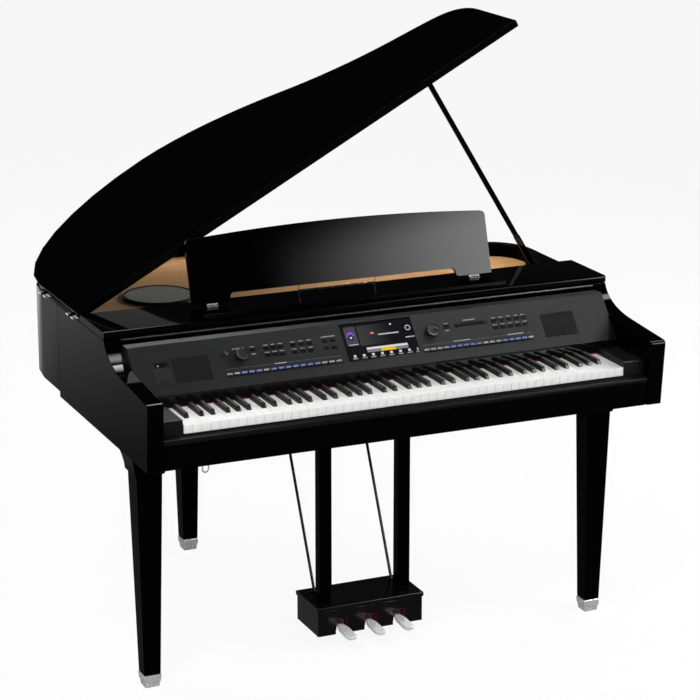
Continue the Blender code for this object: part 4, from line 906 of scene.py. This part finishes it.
# %% Pedal felt
PEDAL_PITCH = 0.084
OPENING = (0.0338, 0.022, 0.0300)
OPENING_TOP = 0.0738
BOX_FRONT_Y = FRONT_Y + 0.285
BEHIND_FRONT = 0.0004
LINING_CUTS = 11
LINING_THICKNESS = 0.0012

for number, name in enumerate(("left_pedal_felt", "middle_pedal_felt", "right_pedal_felt")):
    lining = primitive(name, bpy.ops.mesh.primitive_cube_add, size=1.0,
                       location=(MIDDLE_X + (number - 1) * PEDAL_PITCH,
                                 BOX_FRONT_Y + BEHIND_FRONT + OPENING[1] / 2,
                                 OPENING_TOP - OPENING[2] / 2))
    stretch(lining, OPENING)
    edit(lining)
    pick_faces(lining, lambda middle, normal: abs(normal.y) > STRAIGHT
               or normal.z < -STRAIGHT)
    bpy.ops.mesh.delete(type='ONLY_FACE')
    bpy.ops.mesh.select_all(action='SELECT')
    bpy.ops.mesh.subdivide(number_cuts=LINING_CUTS)
    bpy.ops.object.mode_set(mode='OBJECT')
    modify(lining, 'SOLIDIFY', thickness=LINING_THICKNESS, offset=-1.0)
    done(lining, red_felt, "case", "black_key")

# %% [markdown]
# ## Dials
# A dial starts as a cylinder. Its top is inset and sunk into a shallow dish, every second
# side face is inset to a groove for the fingers, and the rim is rounded. The data dial
# has a finger dimple in its top, cut by a small ball. All are turned upright on the
# slope. The lengths that shape a dial are shares of its radius.

# %% Dials
DISH_DEPTH = 0.0006
BORDER, INNER_BORDER = 0.16, 0.30
GROOVE_BORDER, GROOVE_DEPTH = 0.012, 0.030
RIM_ROUND, RIM_FROM = 0.06, 0.97
DIMPLE_ACROSS, DIMPLE_UP, DIMPLE_LIFT = 0.42, 0.10, 0.45
DIAL_SLACK = 0.00002
EDGE_SLACK = 0.00005


def dial(name, across, up, radius, grooves, dimple):
    low, high = above_slope(name)
    height = high - low
    made = primitive(name + "_piece", bpy.ops.mesh.primitive_cylinder_add,
                     vertices=grooves * 2, radius=radius, depth=height)
    edit(made)
    pick_faces(made, looks_up)
    bpy.ops.mesh.inset(thickness=radius * BORDER)
    bpy.ops.transform.translate(value=(0, 0, -DISH_DEPTH))
    bpy.ops.mesh.inset(thickness=radius * INNER_BORDER)
    bpy.ops.transform.translate(value=(0, 0, -DISH_DEPTH / 2))
    turn = math.pi / grooves
    pick_faces(made, lambda middle, normal: abs(normal.z) < 0.1
               and round(math.atan2(normal.y, normal.x) / turn - 0.5) % 2 == 0)
    bpy.ops.mesh.inset(thickness=radius * GROOVE_BORDER, depth=-radius * GROOVE_DEPTH,
                       use_individual=True)
    rim = height / 2 - EDGE_SLACK
    pick_edges(made, lambda edge: all(vert.co.z > rim and vert.co.xy.length > radius * RIM_FROM
                                      for vert in edge.verts))
    bpy.ops.mesh.bevel(offset=radius * RIM_ROUND, segments=3, affect='EDGES')
    bpy.ops.object.mode_set(mode='OBJECT')
    if dimple:
        ball = primitive("dimple", bpy.ops.mesh.primitive_uv_sphere_add, segments=32,
                         ring_count=16, radius=dimple,
                         location=(radius * DIMPLE_ACROSS, radius * DIMPLE_UP,
                                   height / 2 + dimple * DIMPLE_LIFT))
        alone(made)
        modify(made, 'BOOLEAN', object=ball)
        bpy.data.objects.remove(ball)
    made.rotation_euler = (PANEL_TILT, 0, 0)
    made.location = on_panel(across, up, low + height / 2)
    done(made, dial_black, BODY[name], SLOT[name], name)


# Name, place across and up the slope, radius, number of grooves and radius of the ball.
DIALS = [
    ("volume_dial", -0.383, 0.082, 0.0145, 36, None),
    ("effect_knob", -0.423, 0.093, 0.0055, 18, None),
    ("data_dial", 0.151, 0.085, 0.0160, 36, 0.0042),
]
for name, across, up, radius, grooves, dimple in DIALS:
    dial(name, across, up, radius - DIAL_SLACK, grooves, dimple)

# %% [markdown]
# ## Lamp on the power button
# The power button carries a small white lamp. It is a flat cylinder with a domed face,
# set almost flush in the button, so it goes down with it.

# %% Recess lamp
LAMP_RADIUS = 0.0016
LAMP_DEPTH = 0.0008
LAMP_BORDER = 0.0005
LAMP_DOME = 0.0001
LAMP_LIFT = 0.0001
LAMP_ROUND = 0.00005
LAMP_PLACE = (-0.604, 0.0815)

recess_lamp = primitive("recess_lamp", bpy.ops.mesh.primitive_cylinder_add, vertices=24,
                        radius=LAMP_RADIUS, depth=LAMP_DEPTH)
edit(recess_lamp)
pick_faces(recess_lamp, looks_up)
bpy.ops.mesh.inset(thickness=LAMP_BORDER)
bpy.ops.transform.translate(value=(0, 0, LAMP_DOME))
bpy.ops.mesh.bevel(offset=LAMP_ROUND, segments=2, affect='EDGES')
bpy.ops.object.mode_set(mode='OBJECT')
recess_lamp.rotation_euler = (PANEL_TILT, 0, 0)
_, button_high = above_slope("power_button")
recess_lamp.location = on_panel(*LAMP_PLACE, button_high + LAMP_LIFT)
done(recess_lamp, lamp_white, BODY["power_button"], "button_plastic")

# %% [markdown]
# ## Rubber stop under the lid
# A black rubber stop sits under the front corner of the lid, where it meets the board
# when the lid is shut. Its height and tilt come from the largest face that looks down.

# %% Lid stop
STOP_RADIUS = 0.0085
STOP_DEPTH = 0.005
STOP_FROM_SIDE, STOP_FROM_FRONT = 0.06, 0.022
STOP_BORDER = 0.0022
STOP_DISH = 0.0008
STOP_ROUND = 0.0010
STOP_RIM_FROM = 0.008
STOP_OUT = 0.0024

lid_low, lid_high = (Vector(corner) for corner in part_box("lid"))
under = max((face for face in nodes["lid"].data.polygons if face.normal.z < -0.5),
            key=lambda face: face.area)
stop_normal = under.normal.copy()
stop_place = Vector((lid_high.x - STOP_FROM_SIDE, lid_low.y + STOP_FROM_FRONT, 0))
slope_rise = (stop_place - under.center).xy.dot(stop_normal.xy) / stop_normal.z
stop_place.z = under.center.z - slope_rise

lid_stop = primitive("lid_stop", bpy.ops.mesh.primitive_cylinder_add, vertices=32,
                     radius=STOP_RADIUS, depth=STOP_DEPTH)
edit(lid_stop)
pick_faces(lid_stop, looks_up)
bpy.ops.mesh.inset(thickness=STOP_BORDER)
bpy.ops.transform.translate(value=(0, 0, -STOP_DISH))
pick_edges(lid_stop, lambda edge: all(vert.co.xy.length > STOP_RIM_FROM and vert.co.z > 0
                                      for vert in edge.verts))
bpy.ops.mesh.bevel(offset=STOP_ROUND, segments=3, affect='EDGES')
bpy.ops.object.mode_set(mode='OBJECT')
lid_stop.rotation_euler = stop_normal.to_track_quat('Z', 'Y').to_euler()
lid_stop.location = stop_place + stop_normal * STOP_OUT
done(lid_stop, rubber, BODY["lid"], "black_rod")

# %% [markdown]
# ## Studio
# The photograph has a white background, white also in what the metal mirrors. The floor
# is pale, and floor and world are white to camera, glossy and transmission rays, while
# the lamps and a weak fill light the piano. The floor's mirror image is painted dark near
# the piano, a painted shade round it, and grows brighter with the distance, so the black
# sides stay dark near the feet. High up the studio is dark: a polished lid that mirrors
# the ceiling stays black.

# %% Floor
FLOOR_SIZE = 80.0
FLOOR_WHITE_SHARE = 0.90
SHADED_MIRROR_NEAR, MIRROR_RISE = 0.18, 0.80
FAR_FROM, FAR_SPAN = 4.0, 10.0
RAY_KINDS = ("Is Camera Ray", "Is Glossy Ray", "Is Transmission Ray")

floor = primitive("studio_floor", bpy.ops.mesh.primitive_plane_add, size=FLOOR_SIZE,
                  location=(0, 0, 0))
paint = Finish("studio_floor")
seen, mirrored, through = paint.rays(*RAY_KINDS)
x, y, _ = paint.axes()
far = paint.clamped((x * x + y * y - FAR_FROM) / FAR_SPAN)
share = (seen + through) * FLOOR_WHITE_SHARE + mirrored
# Painted shade: in mirrors the floor glows weakly near the piano and brighter far from it.
glow = seen + through + mirrored * (far * MIRROR_RISE + SHADED_MIRROR_NEAR)
paint.set(Base_Color=(0.86, 0.86, 0.86), Roughness=0.9)
white = paint.node("ShaderNodeEmission", {}, Strength=glow)
paint.show_mix(share, Wire(paint, paint.shader.outputs[0]), white)
give(floor, paint.material)

# %% World
FILL = 0.30
CEILING_FROM, CEILING_TO = 0.12, 0.25
CEILING_GLOW = 0.02

world = bpy.data.worlds.new("studio")
bpy.context.scene.world = world
world.use_nodes = True
sky = Finish.of_tree(world.node_tree)
seen, mirrored, through = sky.rays(*RAY_KINDS)
height = sky.axes(sky.node("ShaderNodeTexCoord", {}, output="Generated"))[2]
ceiling = sky.ease(height, CEILING_FROM, CEILING_TO, 1.0, CEILING_GLOW)
direct = sky.clamped(seen + through)
other = 1.0 - sky.clamped(direct + mirrored)
background = sky.tree.nodes["Background"]
sky.feed(background.inputs["Color"], (1.0, 1.0, 1.0))
sky.feed(background.inputs["Strength"], direct + mirrored * ceiling + other * FILL)

# %% Lamps
def facing(place, aim):
    """The turn that makes a lamp or a card at a place look at a point."""
    return (Vector(aim) - Vector(place)).to_track_quat('-Z', 'Y').to_euler()


def lamp(name, place, aim, size, power):
    """A square softbox that faces a point."""
    bpy.ops.object.light_add(type='AREA', location=place)
    made = bpy.context.object
    made.name = name
    made.data.size = size
    made.data.energy = power
    made.visible_camera = False
    made.rotation_euler = facing(place, aim)


lamp("key_softbox", (-2.4, -2.6, 3.8), aim=(0, 0, 0.7), size=1.6, power=120)
lamp("fill_softbox", (3.4, -2.4, 2.6), aim=(0.2, -0.2, 0.8), size=1.4, power=80)
lamp("rear_softbox", (-3.4, 2.3, 3.3), aim=(0, 0, 1.0), size=1.8, power=60)
lamp("side_softbox", (3.4, 0.8, 2.3), aim=(0.0, 0.3, 0.9), size=1.4, power=60)

# %% [markdown]
# ## Reflector cards
# A black lacquer shows light only as mirror images, so a photographer places soft white
# cards where the polished faces look. Each card here is a plane whose glow fades towards
# its edges, seen by glossy rays only: it draws a highlight and lights nothing.

# %% Cards
def card(name, place, aim, size, strength, soft):
    """A glowing plane that faces a point; soft is how much of each half fades."""
    made = primitive(name, bpy.ops.mesh.primitive_plane_add, size=1.0, location=place)
    made.scale = (*size, 1.0)
    made.rotation_euler = facing(place, aim)
    glow = Finish(name)
    mirrored, = glow.rays("Is Glossy Ray")
    power = mirrored * strength
    for axis, fade in zip(glow.axes(), soft):
        power = power * glow.ease(axis.size(), 0.5 - fade, 0.5, 1.0, 0.0)
    light = glow.node("ShaderNodeEmission", {}, (1.0, 1.0, 1.0), power)
    clear = glow.node("ShaderNodeBsdfTransparent", {})
    glow.show_mix(mirrored, clear, light)
    give(made, glow.material)
    made.visible_camera = False
    made.visible_diffuse = False
    made.visible_shadow = False


card("desk_card", (2.02, -2.74, 1.81), aim=(0.43, -0.16, 1.02), size=(2.3, 0.9),
     strength=145.0, soft=(0.50, 0.3))
card("left_arm_card", (0.05, 0.20, 3.08), aim=(-0.69, -0.42, 0.87), size=(1.2, 1.1),
     strength=80.0, soft=(0.3, 0.5))
card("right_arm_card", (1.75, -0.25, 3.08), aim=(0.69, -0.35, 0.87), size=(1.0, 1.1),
     strength=110.0, soft=(0.3, 0.5))
card("lid_edge_card", (-0.5, 0.8, 3.3), aim=(0.0, -0.1, 1.3), size=(4.0, 1.6),
     strength=100.0, soft=(0.3, 0.5))

# %% Scene settings
bpy.context.scene.view_settings.view_transform = 'Standard'

# %% Update the view layer
bpy.context.view_layer.update()
